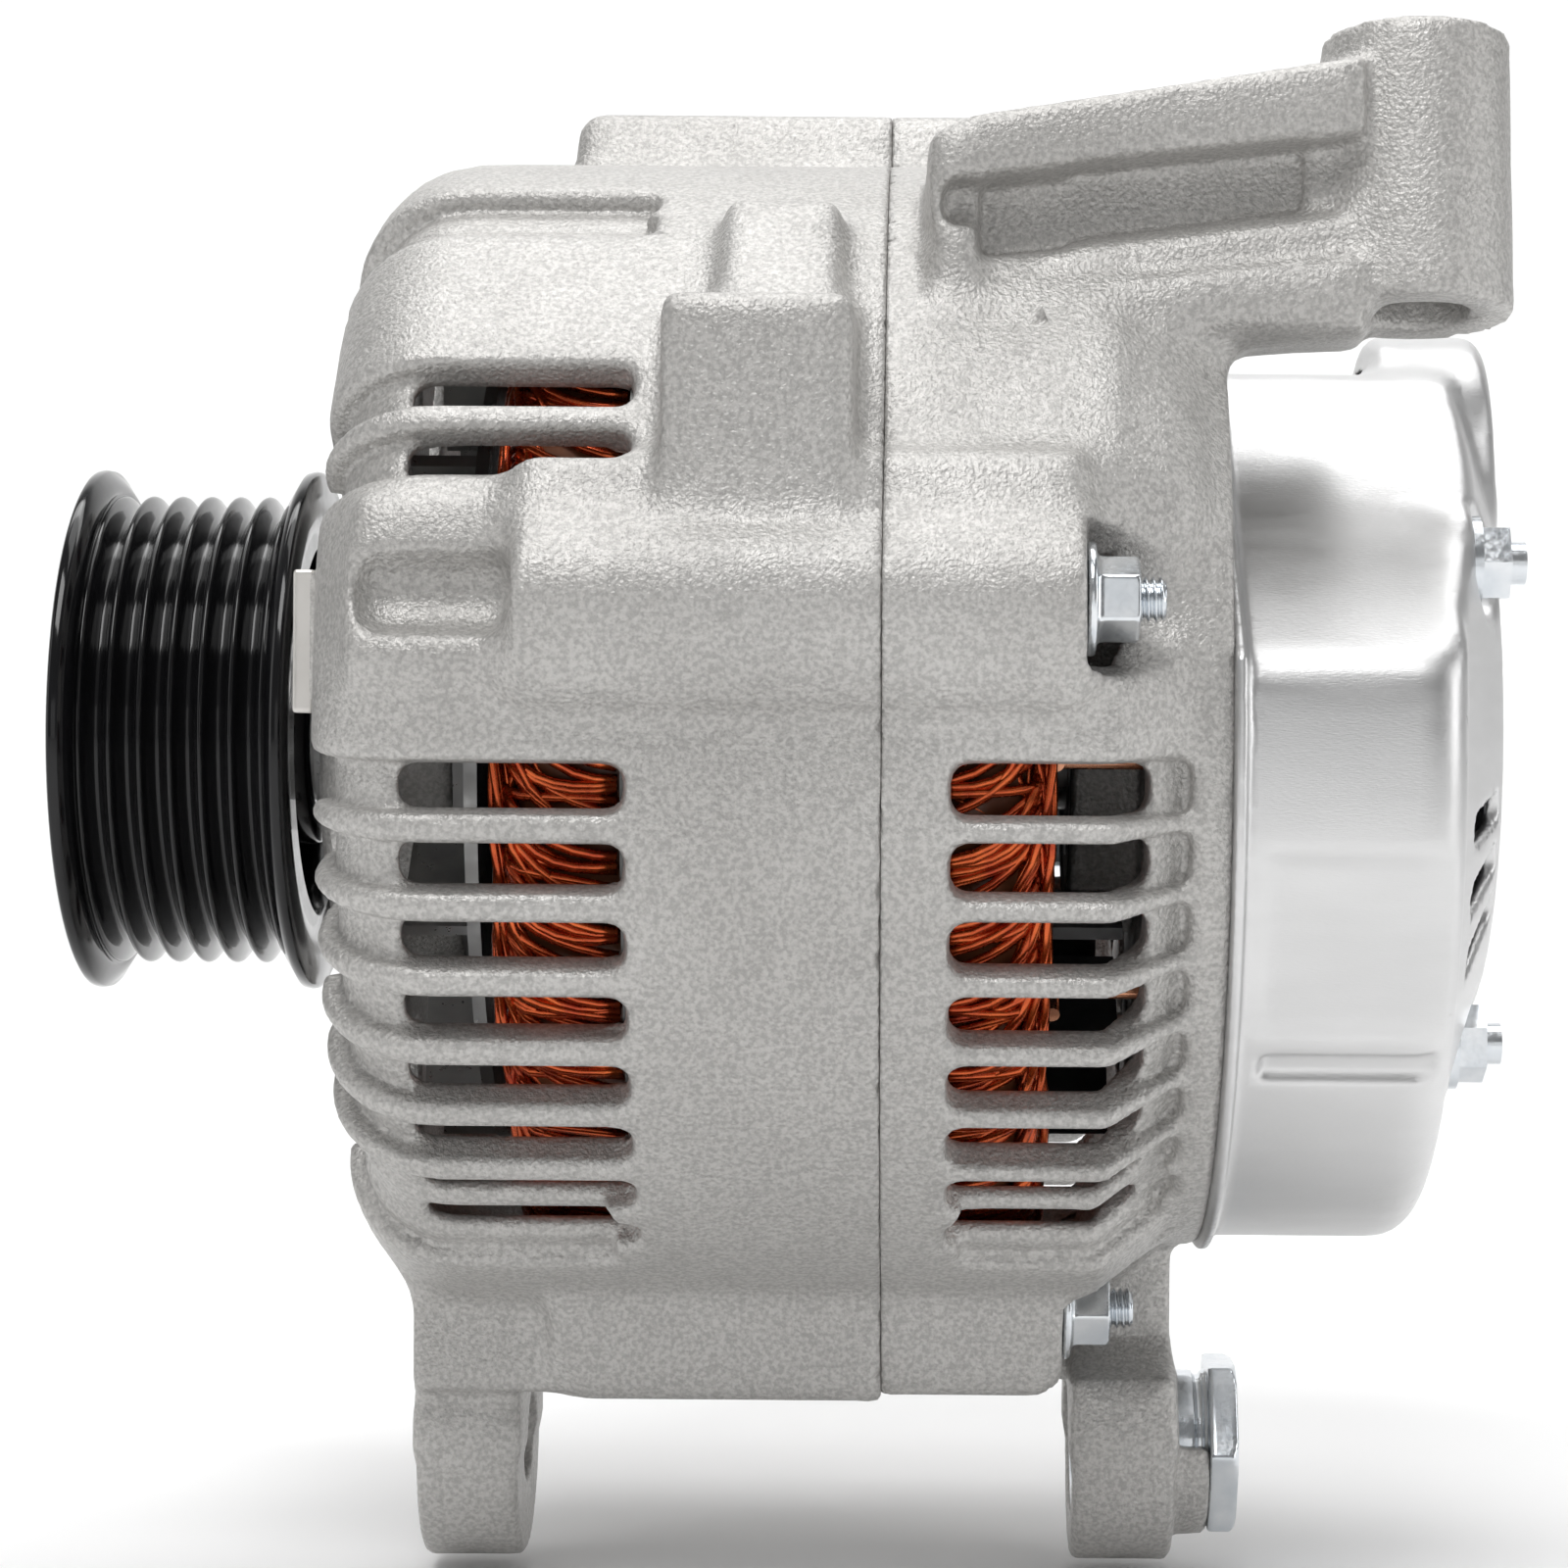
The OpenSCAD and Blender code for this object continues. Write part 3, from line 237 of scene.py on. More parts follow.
def upright(points, y0, y1, r=0.0, reach=0):
    """An outline of (x, z) points drawn out along y."""
    table, lo, step = outline_table(points, reach)
    p = np.array(points)

    def dist(x, y, z):
        flat = table_lookup(table, lo[0], lo[1], step, x + 0 * z, z + 0 * x)
        return edge_box([flat, np.abs(y - (y0 + y1) / 2) - (y1 - y0) / 2], r)

    return (p[:, 0].min(), y0, p[:, 1].min()), (p[:, 0].max(), y1, p[:, 1].max()), dist


def post(mid, tilt, length, radius, r=0.0):
    """A near-vertical cylinder leaning by tilt, its lower end towards the viewer."""
    a = math.radians(tilt)
    reach = length / 2 + radius
    lo, hi = [m - reach for m in mid], [m + reach for m in mid]

    def dist(x, y, z):
        v, w = y - mid[1], z - mid[2]
        along = w * math.cos(a) + v * math.sin(a)
        side = v * math.cos(a) - w * math.sin(a)
        across = np.sqrt((x - mid[0]) ** 2 + side ** 2) - radius
        return edge_box([across, np.abs(along) - length / 2], r)

    return lo, hi, dist


def both(a, b):
    """The space inside both shapes."""
    lo = [max(p, q) for p, q in zip(a[0], b[0])]
    hi = [min(p, q) for p, q in zip(a[1], b[1])]
    return lo, hi, lambda x, y, z: np.maximum(a[2](x, y, z), b[2](x, y, z))


def outside_of(shape, depth):
    """The space outside the shape, and no deeper than a depth below its skin."""
    wide = [-200, -200, -200], [200, 200, 200]
    return wide[0], wide[1], lambda x, y, z: -(shape[2](x, y, z) + depth)


def arc(r0, x0, r, a0, a1, n=10):
    """Points of an arc in (radius, x), for a lathe's outline."""
    return [(r0 + r * math.cos(math.radians(a0 + (a1 - a0) * i / n)),
             x0 + r * math.sin(math.radians(a0 + (a1 - a0) * i / n))) for i in range(n + 1)]


# ---- Meshes ----


def make_mesh(name, points, faces):
    """A mesh object in the row frame from points in millimetres from the seam."""
    mesh = bpy.data.meshes.new(name)
    mesh.from_pydata([tuple(p) for p in (np.asarray(points, float) + SEAM) * 0.001], [], faces)
    mesh.validate()
    mesh.polygons.foreach_set("use_smooth", [True] * len(mesh.polygons))
    obj = bpy.data.objects.new(name, mesh)
    bpy.context.scene.collection.objects.link(obj)
    return obj


# ---- Cast housings ----

SLOT_STEP = 7.3
NEAR_SLOTS = [-5 - SLOT_STEP * k for k in range(8)]
FAR_TOP_SLOTS = [a + 180 for a in NEAR_SLOTS]
FAR_LOW_SLOTS = [206 + SLOT_STEP * k for k in range(6)]
TOP_SLOTS, BLIND_GROOVES = [26, 33.3], [57, 62]
FAR_SLOTS_BY_FOOT = (300, 306.5)
STEP = 0.62  # the grid's cells in the castings
FLATTEN = 0.06  # how far a flat area may be joined into fewer faces


def front_housing():
    s = Solid((-66.6, -79.5, -102.5), (0.6, 79.5, 82.5), STEP)
    skin = lathe([(0, -66), (28, -66), (32.5, -62.4)] + arc(55.4, -48.4, 14, -90, 0)
                 + [(69.4, 1.5), (0, 1.5)], 3)
    s.add(skin)
    for a in STUDS:
        s.add(out_rod(a, STUD_R, -38.8, 1.5, STUD_BOSS_R, 1.6), 5)
    # the near stud's boss runs on to the shoulder round a pocket
    s.add(out_slab(13, -57, -37, 20, 60, 70.6, 2.5), 4)
    s.add(out_slab(14, -38.8, 1.5, 27, 60, 72.6, 2.5), 5)
    # the top stud's boss has a flat pad on it
    s.add(out_slab(STUDS[1], -38.8, 1.5, 13, 60, 78.8, 2.5), 4)
    # machined lug, flat pad with its necks
    s.add(slab((-65.1, -52.4, 2), (-60, -39.4, 17.6), 0.5), 0.5)
    s.add(slab((-23.8, -70.6, 21.3), (-3.2, -50, 46.8), 2.2), 2.5)
    s.add(out_slab(48, -18.4, -5.2, 20, 60, 73.2, 2.2), 3.5)
    s.add(out_slab(11, -19.4, -5.6, 12, 60, 75.4, 2.5), 3)
    s.cut(slab((-5.6, -72.5, 11), (-2.9, -66, 17.8), 0.8), 0.8)
    # foot block, with the lower stud's bulge on it, and the front ear
    s.add(slab((-55.8, -18.2, -78.7), (1.5, 20, -60), 1.4), 4)
    s.add(slab((-37.2, -20, -78.7), (1.5, 20, -60), 3.0), 3)
    s.add(rod(-55.8, -43.6, EAR_R, 0, -SHAFT_H, 1.2))
    s.add(slab((-55.8, -EAR_R, -SHAFT_H), (-43.6, EAR_R, -70), 1.2), 2)
    # air slots, each with a groove that runs on over the shoulder
    for a in NEAR_SLOTS + FAR_TOP_SLOTS + TOP_SLOTS + BLIND_GROOVES + FAR_LOW_SLOTS:
        blind = a in BLIND_GROOVES
        s.cut(both(out_slab(a, -70, -26.6 if blind else -27.4, 5.2, 44, 90, 1.8),
                   outside_of(skin, 2.6)), 1.6)
    for a in FAR_SLOTS_BY_FOOT:
        s.cut(both(out_slab(a - 360, -70, -30.5, 4.6, 44, 90, 1.6), outside_of(skin, 2.2)), 1.6)
    s.cut(lathe([(0, -80), (18, -80), (18, -64), (23.55, -64), (23.55, -50), (32, -50), (32, -58.4)]
                + arc(55.4, -48.4, 9.5, -90, 0)
                + [(INNER_R, -28), (BORE_R, -28), (BORE_R, 5), (0, 5)]))
    for a in NEAR_SLOTS + FAR_TOP_SLOTS + TOP_SLOTS + FAR_LOW_SLOTS:
        s.cut(out_slab(a, -51.6, -27.7, 4.7, 60, 76, 1.9), 0.7)
    for k in range(12):
        s.cut(out_slab(27 + 30 * k, -68, -57.5, 11, 36, 54, 2), 0.7)
    for a in STUDS:
        s.cut(out_rod(a, STUD_R, -36, 5, 2.5))
    s.cut(out_rod(12, 71.6, -56.4, -38.9, 4.6, 3.4), 1.2)
    s.cut(rod(-60, -40, PIVOT_R, 0, -SHAFT_H), 0.4)
    s.cut(slab((0, -90, -110), (9, 90, 90)))
    return s.mesh("front_housing_cast", FLATTEN)


def rear_housing():
    s = Solid((-0.6, -79.5, -102.5), (77.6, 79.5, 93.5), STEP)
    skin = lathe([(0, -1.5), (69.4, -1.5), (69.4, 25), (62.3, 33.6), (62, 38), (56, 38), (56, 34),
                  (24, 34), (22, 36), (0, 36)], 3)
    s.add(skin)
    for a in STUDS:
        s.add(out_rod(a, STUD_R, -1.5, NUT_SEAT, STUD_BOSS_R), 5)
    s.add(out_slab(14, -1.5, NUT_SEAT, 27, 60, 72.6, 2.5), 5)
    s.add(out_slab(STUDS[1], -1.5, NUT_SEAT, 13, 60, 78.8, 2.5), 4)
    s.add(out_slab(26, 16, 33.4, 16, 50, 65, 3), 4)
    s.add(out_slab(23.6, 30.6, 34.6, 6.8, 50, 63.6, 0.8), 0.8)
    # flash line along the near stud's boss
    s.add(out_slab(4.6, -1.5, 19.5, 0.7, 60, 71.4, 0.3, -0.12), 0.6)
    # arm: a web with a flange above and below, out to the boss
    y = BOSS[1]
    s.add(upright([(5.2, 34), (5.2, 66.5), (9.2, 68.6), (53, 75), (53, 45.8), (40, 44.6), (35, 41),
                   (27, 34)], y - 6, y + 6, 1.0, 3), 3)
    s.add(upright([(5.2, 58), (5.2, 66.6), (9.2, 68.9), (53, 75.9), (53, 67), (9, 61.6)],
                  y - 11.5, y + 11.5, 1.8, 3), 2)
    s.add(upright([(5.2, 34), (5.2, 53.4), (9, 53), (53, 58.8), (53, 45.6), (40, 44.4), (35, 41),
                   (27, 34)], y - 9.4, y + 9.4, 2.0, 3), 3)
    s.add(upright([(5.2, 44), (5.2, 48.6), (53, 53.4), (53, 45.4), (12, 45.6)],
                  y - 11.8, y + 11.8, 1.8, 3), 2.5)
    s.add(slab((5.2, y - 11.5, 34), (10.2, y + 11.5, 66.4), 2.0), 2.5)
    s.add(out_slab(32, 16, 33.4, 24, 50, 66.5, 4), 6)
    s.add(post(BOSS, BOSS_TILT, 32, 10.7, 0.5), 2.5)
    # foot block, its step down to the rear ear, the ear and the half collar under the bush
    s.add(slab((-1.5, -20, -78.7), (20.9, 20, -60), 3.0), 3)
    s.add(slab((19, -5, -78.7), (35.2, 14, -58), 1.2), 2)
    s.add(rod(23.1, 35.4, EAR_R, 0, -SHAFT_H, 1.2))
    s.add(slab((23.1, -EAR_R, -SHAFT_H), (35.4, EAR_R, -76.7), 1.2), 2)
    s.add(both(rod(30, 39.8, 11.2, 0, -SHAFT_H, 1.0), slab((30, -20, -110), (39.8, 20, -86), 1)), 1)
    # hollows either side of the arm's web
    for y0, y1 in ((y - 20, y - 4.6), (y + 4.6, y + 20)):
        s.cut(upright([(10.4, 53.6), (10.4, 61.2), (20, 62.2), (20.4, 63.0), (46.4, 65.9),
                       (46.4, 59.2), (20.4, 55.6), (20, 54.6)], y0, y1, 0.6, 3), 1.4)
    s.cut(slab((6.0, y - 16, 56.6), (10.6, y - 7, 61.6), 2.0), 1.4)
    for a in NEAR_SLOTS + FAR_TOP_SLOTS + FAR_LOW_SLOTS:
        s.cut(both(out_slab(a, 7.6, 33.4, 6.0, 44, 90, 1.8), outside_of(skin, 2.2)), 1.6)
    for a in FAR_SLOTS_BY_FOOT:
        s.cut(both(out_slab(a - 360, 9, 32, 4.6, 44, 90, 1.6), outside_of(skin, 2.0)), 1.6)
    s.cut(lathe([(0, -5), (BORE_R, -5), (BORE_R, 5), (INNER_R, 5), (INNER_R, 24), (56, 30),
                 (24, 30), (24, 22), (19.05, 22), (19.05, 33), (12.5, 33), (12.5, 40), (0, 40)]))
    for a in NEAR_SLOTS + FAR_TOP_SLOTS + FAR_LOW_SLOTS:
        s.cut(out_slab(a, 7.4, 28.7, 5.5, 58, 76, 1.9), 0.7)
    for k in range(12):
        s.cut(out_slab(27 + 30 * k, 29, 42, 12, 28, 54, 2), 0.7)
    for a in STUDS:
        s.cut(out_rod(a, STUD_R, -5, 26, 2.7))
        s.cut(out_rod(a, STUD_R + 0.6, NUT_SEAT, 33.6, 8.2), 0.5)
    for a in COVER_STUDS:
        s.cut(out_rod(a, COVER_STUD_R, 29, 40, 2.5))
    s.cut(post(BOSS, BOSS_TILT, 60, 5.7), 0.8)
    s.cut(rod(20, 60, 8.85, 0, -SHAFT_H), 0.3)
    s.cut(slab((-9, -90, -110), (0, 90, 90)))
    return s.mesh("rear_housing_cast", FLATTEN)


def rear_cover():
    t = 1.5
    s = Solid((37.0, -64, -64), (73.4, 64, 51), 0.5)

    def body(grow, x0):
        c = Solid(s.lo, [a[-1] for a in s.axes], s.step)
        c.add(lathe([(0, x0), (COVER_R + grow, x0)] + arc(56, 59, 5 + grow, 0, 90, 6)
                    + [(54, 64 + grow), (33 + grow, 71.3 + grow), (0, 71.3 + grow)], 3))
        # flats pressed into the wall, a lower groove and the creases beside the flats
        for a, d, w, q0, q1 in ((COVER_FLAT_ANGLE, 44.9, 90, 30, 90),
                                (-22.5, 59.6, 21, 41.5, 62.5)):
            c.cut(out_slab(a, q0, q1, w, d + grow, 80, 1.5), 2.2)
        c.cut(out_slab(-37.2, 42, 61.8, 3.4, 59.6 + grow, 80, 1.0), 1.2)
        c.cut(slab((0, -90, COVER_TOP + grow), (90, 90, 99)), 2)
        for a in COVER_STUDS:
            c.cut(out_rod(a, COVER_STUD_R, 66.5 + grow, 90, 6.4 - grow), 1.5)
        c.add(rod(58, 72.2 + grow, 20 + grow, 0, 29.5, 2.5), 3)
        for a in COVER_STUDS:
            c.add(out_rod(a, COVER_STUD_R, 58, 66.4 + grow, 6.4 + grow, 1.2), 1.5)
        return c.f

    outer = body(0.0, 36.0)
    s.f = np.maximum(outer, -body(-t, 30.0))
    s.cut(slab((30, -90, -90), (38.0, 90, 90)))
    lip = Solid(s.lo, [a[-1] for a in s.axes], s.step)
    lip.add(lathe([(59, 38), (62.7, 38), (62.7, 39.4), (59, 39.4)], 1))
    lip.cut(slab((30, -90, COVER_TOP), (90, 90, 99)))
    lip.cut(out_slab(COVER_FLAT_ANGLE, 30, 90, 120, 46.4, 90))
    s.f = soft_min(s.f, lip.f, 1.0)
    # vents between the studs, left out near the flat and the studs
    turns = [60.6, 151.6, -95.0]
    for k in range(-11, 11):
        a = 10 * k + 2.5
        if abs(a) > 50 and min(abs(a - b) for b in turns + [120]) > 13:
            s.cut(out_slab(-90 - a, 58, 80, 3.7, 35, 48, 1.6), 0.4)
    for a in COVER_STUDS:
        s.cut(out_rod(a, COVER_STUD_R, 50, 80, 2.8))
    s.cut(slab((56, 7.5, 24), (90, 28.5, 41), 1))
    y, z = 44 * math.sin(math.radians(120)), -44 * math.cos(math.radians(120))
    s.cut(rod(50, 90, 7.5, y, z))
    return s.mesh("rear_cover_sheet", FLATTEN / 2)


# ---- Materials ----


def node_set(mat):
    mat.use_nodes = True
    return mat.node_tree, mat.node_tree.nodes["Principled BSDF"]


def noise(tree, scale, detail=3.0, stretch=(1, 1, 1)):
    """Noise in the piece's own coordinates, so that it moves with the piece."""
    place = tree.nodes.new("ShaderNodeTexCoord")
    spread = tree.nodes.new("ShaderNodeMapping")
    spread.inputs["Scale"].default_value = stretch
    tex = tree.nodes.new("ShaderNodeTexNoise")
    tex.inputs["Scale"].default_value = scale
    tex.inputs["Detail"].default_value = detail
    tree.links.new(place.outputs["Object"], spread.inputs["Vector"])
    tree.links.new(spread.outputs["Vector"], tex.inputs["Vector"])
    return tex


def ramp(tree, source, low, high, start=0.3, end=0.7):
    """Turns a number into a colour between two."""
    r = tree.nodes.new("ShaderNodeValToRGB")
    r.color_ramp.elements[0].position, r.color_ramp.elements[1].position = start, end
    r.color_ramp.elements[0].color = (*low, 1)
    r.color_ramp.elements[1].color = (*high, 1)
    tree.links.new(source, r.inputs["Fac"])
    return r


def finish(name, low, high, metallic, rough, blotch=60.0, grain=0.0, grain_scale=1500.0,
           rough_spread=0.08, coat=0.0, stretch=(1, 1, 1), speckle=0.0):
    """A worn surface: two shades mixed in blotches, uneven roughness and a fine grain."""
    mat = bpy.data.materials.new(name)
    tree, bsdf = node_set(mat)
    wide = noise(tree, blotch, 4.0, stretch)
    shade = ramp(tree, wide.outputs["Fac"], low, high)
    tree.links.new(shade.outputs["Color"], bsdf.inputs["Base Color"])
    uneven = ramp(tree, noise(tree, blotch * 6, 3.0, stretch).outputs["Fac"],
                  (rough - rough_spread,) * 3, (rough + rough_spread,) * 3)
    tree.links.new(uneven.outputs["Color"], bsdf.inputs["Roughness"])
    bsdf.inputs["Metallic"].default_value = metallic
    bsdf.inputs["Coat Weight"].default_value = coat
    bsdf.inputs["Coat Roughness"].default_value = 0.08
    if grain:
        bump = tree.nodes.new("ShaderNodeBump")
        bump.inputs["Strength"].default_value = 1.0
        bump.inputs["Distance"].default_value = grain
        fine = noise(tree, grain_scale, 2.0, stretch)
        tree.links.new(fine.outputs["Fac"], bump.inputs["Height"])
        tree.links.new(bump.outputs["Normal"], bsdf.inputs["Normal"])
    if speckle:
        dots = ramp(tree, noise(tree, grain_scale * 0.8, 2.0).outputs["Fac"],
                    (1 - speckle,) * 3, (1 + speckle,) * 3, 0.38, 0.62)
        both_shades = tree.nodes.new("ShaderNodeMix")
        both_shades.data_type, both_shades.blend_type = "RGBA", "MULTIPLY"
        both_shades.inputs["Factor"].default_value = 1.0
        tree.links.new(shade.outputs["Color"], both_shades.inputs["A"])
        tree.links.new(dots.outputs["Color"], both_shades.inputs["B"])
        tree.links.new(both_shades.outputs["Result"], bsdf.inputs["Base Color"])
    return mat


cast = finish("cast_aluminium", (0.44, 0.43, 0.415), (0.515, 0.505, 0.49), 0.55, 0.48,
              25, 0.00022, 2200, 0.06, speckle=0.15)
satin = finish("satin_aluminium", (0.63, 0.63, 0.63), (0.70, 0.70, 0.70), 1.0, 0.38,
               18, 0.00002, 1400, 0.04, stretch=(1, 1, 5))
machined = finish("machined_aluminium", (0.62, 0.60, 0.57), (0.70, 0.68, 0.65), 0.7, 0.36,
                  90, 0.00002, 2200, 0.07)
zinc = finish("zinc_plate", (0.62, 0.66, 0.70), (0.80, 0.82, 0.84), 1.0, 0.2, 240, 0.00001,
              1500, 0.07)
steel = finish("plain_steel", (0.33, 0.33, 0.33), (0.45, 0.45, 0.44), 0.9, 0.34, 150, 0.00002,
               900, 0.08)
pole_steel = finish("pole_steel", (0.035, 0.035, 0.036), (0.07, 0.07, 0.07), 0.6, 0.42, 120,
                    0.00004, 700, 0.08)
stack_steel = finish("stack_steel", (0.10, 0.10, 0.10), (0.16, 0.16, 0.155), 0.7, 0.45, 90,
                     0.00003, 900, 0.06)
black_gloss = finish("black_enamel", (0.004, 0.004, 0.0045), (0.007, 0.007, 0.008), 0.0, 0.12,
                     70, 0.00001, 500, 0.03, coat=0.3)
black_gloss.node_tree.nodes["Principled BSDF"].inputs["Specular IOR Level"].default_value = 0.22
plastic = finish("black_plastic", (0.012, 0.012, 0.012), (0.024, 0.024, 0.024), 0.0, 0.42, 110,
                 0.00003, 1400, 0.07)
resin = finish("coil_resin", (0.11, 0.04, 0.02), (0.19, 0.07, 0.03), 0.0, 0.35, 110, 0.00004,
               900, 0.08)
paper = finish("slot_paper", (0.32, 0.24, 0.13), (0.42, 0.32, 0.18), 0.0, 0.6, 120, 0.00003,
               900, 0.08)
copper_wire = finish("copper_enamel", (0.42, 0.045, 0.012), (0.72, 0.14, 0.03), 0.85, 0.24, 320,
                     0.00002, 700, 0.07, coat=0.3)
bare_copper = finish("bare_copper", (0.62, 0.28, 0.16), (0.74, 0.36, 0.22), 1.0, 0.25, 150,
                     0.00001, 900, 0.06)
carbon = finish("carbon", (0.03, 0.03, 0.032), (0.055, 0.055, 0.058), 0.2, 0.5, 200, 0.00003,
                1200, 0.08)
rubber = finish("seal_rubber", (0.05, 0.022, 0.012), (0.08, 0.04, 0.025), 0.0, 0.5, 150, 0.00002,
                900, 0.08)


# ---- Turned, wound and threaded pieces ----


def turned_mesh(name, outline, turns=144):
    """A closed outline of (x, radius) points turned round the shaft."""
    n = len(outline)
    a = np.arange(turns) * 2 * math.pi / turns
    p = np.array(outline, float)
    points = np.stack([np.repeat(p[None, :, 0], turns, 0), np.cos(a)[:, None] * p[None, :, 1],
                       np.sin(a)[:, None] * p[None, :, 1]], -1).reshape(-1, 3)
    faces = [(i * n + j, i * n + (j + 1) % n, ((i + 1) % turns) * n + (j + 1) % n,
              ((i + 1) % turns) * n + j) for i in range(turns) for j in range(n)]
    return make_mesh(name, points, faces)


GROOVES, GROOVE_PITCH, FIRST_CREST = 6, 3.56, -93.96


def pulley():
    """Six V grooves between two flanges, with a dished web and a hub."""
    rim = [(-96.96, 23.2), (-96.96, 31.3), (-96.7, 31.75), (-96.2, 31.85), (-95.5, 31.7),
           (-94.2, 29.6)]
    for k in range(GROOVES + 1):
        x = FIRST_CREST + GROOVE_PITCH * k
        if k:
            rim += [(x - 1.35, 26.25), (x - 1.1, 26.5)]
        rim += [(x - 0.42, 28.35), (x - 0.22, 28.62), (x, 28.7), (x + 0.22, 28.62),
                (x + 0.42, 28.35)]
        if k < GROOVES:
            rim += [(x + 1.1, 26.5), (x + 1.35, 26.25), (x + 1.6, 26.1), (x + 1.96, 26.1)]
    rim += [(-72.3, 29.6), (-71.0, 31.7), (-70.3, 31.85), (-69.85, 31.75), (-69.6, 31.3),
            (-69.6, 23.0), (-70.2, 22.6), (-79.5, 22.6), (-80.2, 22.0), (-80.2, 14.4),
            (-79.8, 14.0), (-70, 14.0), (-69.6, 13.7), (-69.6, 8.6), (-85.9, 8.6), (-85.96, 9.0),
            (-85.96, 20.6), (-86.4, 21.1), (-96.4, 22.6)]
    fine = []
    for (x0, r0), (x1, r1) in zip(rim, rim[1:] + rim[:1]):
        fine += [(x0, r0), ((x0 + x1) / 2, (r0 + r1) / 2)]
    return turned_mesh("pulley_wheel", fine, 160)


def tube(path, radius, sides, points, faces):
    """Adds a round wire along a path, in millimetres, to lists of points and faces."""
    path = np.asarray(path, float)
    along = np.gradient(path, axis=0)
    along /= np.linalg.norm(along, axis=1)[:, None]
    ref = np.array([0.3, 0.5, 0.8])
    u = np.cross(along, ref)
    u /= np.linalg.norm(u, axis=1)[:, None]
    v = np.cross(along, u)
    first = len(points)
    for k in range(len(path)):
        for i in range(sides):
            t = 2 * math.pi * i / sides
            points.append(path[k] + radius * (math.cos(t) * u[k] + math.sin(t) * v[k]))
    for k in range(len(path) - 1):
        for i in range(sides):
            a, b = first + k * sides + i, first + k * sides + (i + 1) % sides
            faces.append((a, b, b + sides, a + sides))
    faces.append(tuple(first + i for i in range(sides))[::-1])
    faces.append(tuple(first + (len(path) - 1) * sides + i for i in range(sides)))


SLOT_COUNT, WIRES_PER_SLOT, OUTER_WIRES = 36, 9, 290


def end_turns(name, x0, reach, seed):
    """Wires that leave one slot, lean over and drop back five slots on, in layers."""
    pick = np.random.default_rng(seed)
    points, faces = [], []
    for slot in range(SLOT_COUNT):
        for wire in range(WIRES_PER_SLOT):
            start = 360 / SLOT_COUNT * slot + pick.uniform(-2.6, 2.6)
            span = 50 + pick.uniform(-4, 4)
            r0 = 53.3 + 1.0 * wire + pick.uniform(-0.2, 0.2)
            rise = abs(reach) * (0.62 + 0.04 * wire) + pick.uniform(-0.8, 0.6)
            bow = pick.uniform(-1.2, 1.2)
            path = []
            for t in np.linspace(0, 1, 13):
                height = min(rise * math.sin(math.pi * t) ** 0.55, abs(reach) - 0.7)
                x = x0 + math.copysign(height, reach)
                ang = start + span * (t - 0.06 * math.sin(2 * math.pi * t))
                r = r0 + bow * math.sin(math.pi * t) + 1.2 * math.sin(2 * math.pi * t)
                r = min(max(r, 53), 63)
                a = math.radians(ang)
                path.append((x, -r * math.cos(a), r * math.sin(a)))
            tube(path, 0.5, 5, points, faces)
    # an outer layer of wires laid side by side, seen through the air slots
    for wire in range(OUTER_WIRES):
        start = 360 / OUTER_WIRES * wire + pick.uniform(-0.4, 0.4)
        lean = 9 + pick.uniform(-5, 5)
        r0 = 62.6 + pick.uniform(-0.45, 0.25)
        path = []
        for t in np.linspace(0, 1, 9):
            r = r0 - 6.5 * max(t - 0.72, 0) / 0.28
            a = math.radians(start + lean * t * t + 1.2 * math.sin(3 * t + wire))
            x = x0 + reach * (0.02 + 0.9 * math.sin(t * 1.45))
            path.append((x, -r * math.cos(a), r * math.sin(a)))
        tube(path, 0.62, 5, points, faces)
    return make_mesh(name, points, faces)


def winding_core():
    """The wound mass under the loose wires, with a bundled, ridged surface."""
    outline = [(-38.6, 54.6), (-39.2, 56), (-39.2, 60), (-38.4, 61.4), (-27, 61.4), (4, 61.4),
               (4, 61.4), (14.6, 61.4), (15.6, 60), (15.6, 56), (14.8, 54.6), (4, 54.0),
               (-27, 54.0)]
    return turned_mesh("winding_core", outline, 108)


def threaded(x0, x1, radius, pitch, angle, r_out):
    """A rod along the shaft's direction with a real helical thread and a chamfered tip."""
    sides, steps = 28, max(int((x1 - x0) / pitch * 8), 8)
    cy, cz = out_place(angle, r_out)
    points, faces = [], []
    for k in range(steps + 1):
        x = x0 + (x1 - x0) * k / steps
        for i in range(sides):
            t = 2 * math.pi * i / sides
            phase = (x / pitch - i / sides) % 1.0
            r = radius - 0.62 * pitch * min(abs(2 * phase - 1) * 1.15, 1.0)
            r = min(r, radius - 0.5 + (x1 - x) * 0.9)
            points.append((x, cy + r * math.cos(t), cz + r * math.sin(t)))
    for k in range(steps):
        for i in range(sides):
            a, b = k * sides + i, k * sides + (i + 1) % sides
            faces.append((a, b, b + sides, a + sides))
    faces.append(tuple(range(sides))[::-1])
    faces.append(tuple(steps * sides + i for i in range(sides)))
    return points, faces


def hexagon(x0, x1, flats, y, z, r=0.0, turn=0.0):
    """A hexagonal prism along x with its corners chamfered at the outer end."""
    reach = flats * 0.6
    lo, hi = (x0, y - reach, z - reach), (x1, y + reach, z + reach)

    def dist(px, py, pz):
        v, w = py - y, pz - z
        side = np.full(np.broadcast_shapes(v.shape, w.shape), -1e9, np.float32)
        for k in range(3):
            a = math.radians(60 * k + turn)
            side = np.maximum(side, np.abs(v * math.cos(a) + w * math.sin(a)))
        flat = edge_box([side - flats / 2, np.abs(px - (x0 + x1) / 2) - (x1 - x0) / 2], r)
        cone = (np.sqrt(v * v + w * w) - flats * 0.55 + (px - x1) * 1.6 + flats * 0.03) * 0.53
        return np.maximum(flat, cone)

    return lo, hi, dist


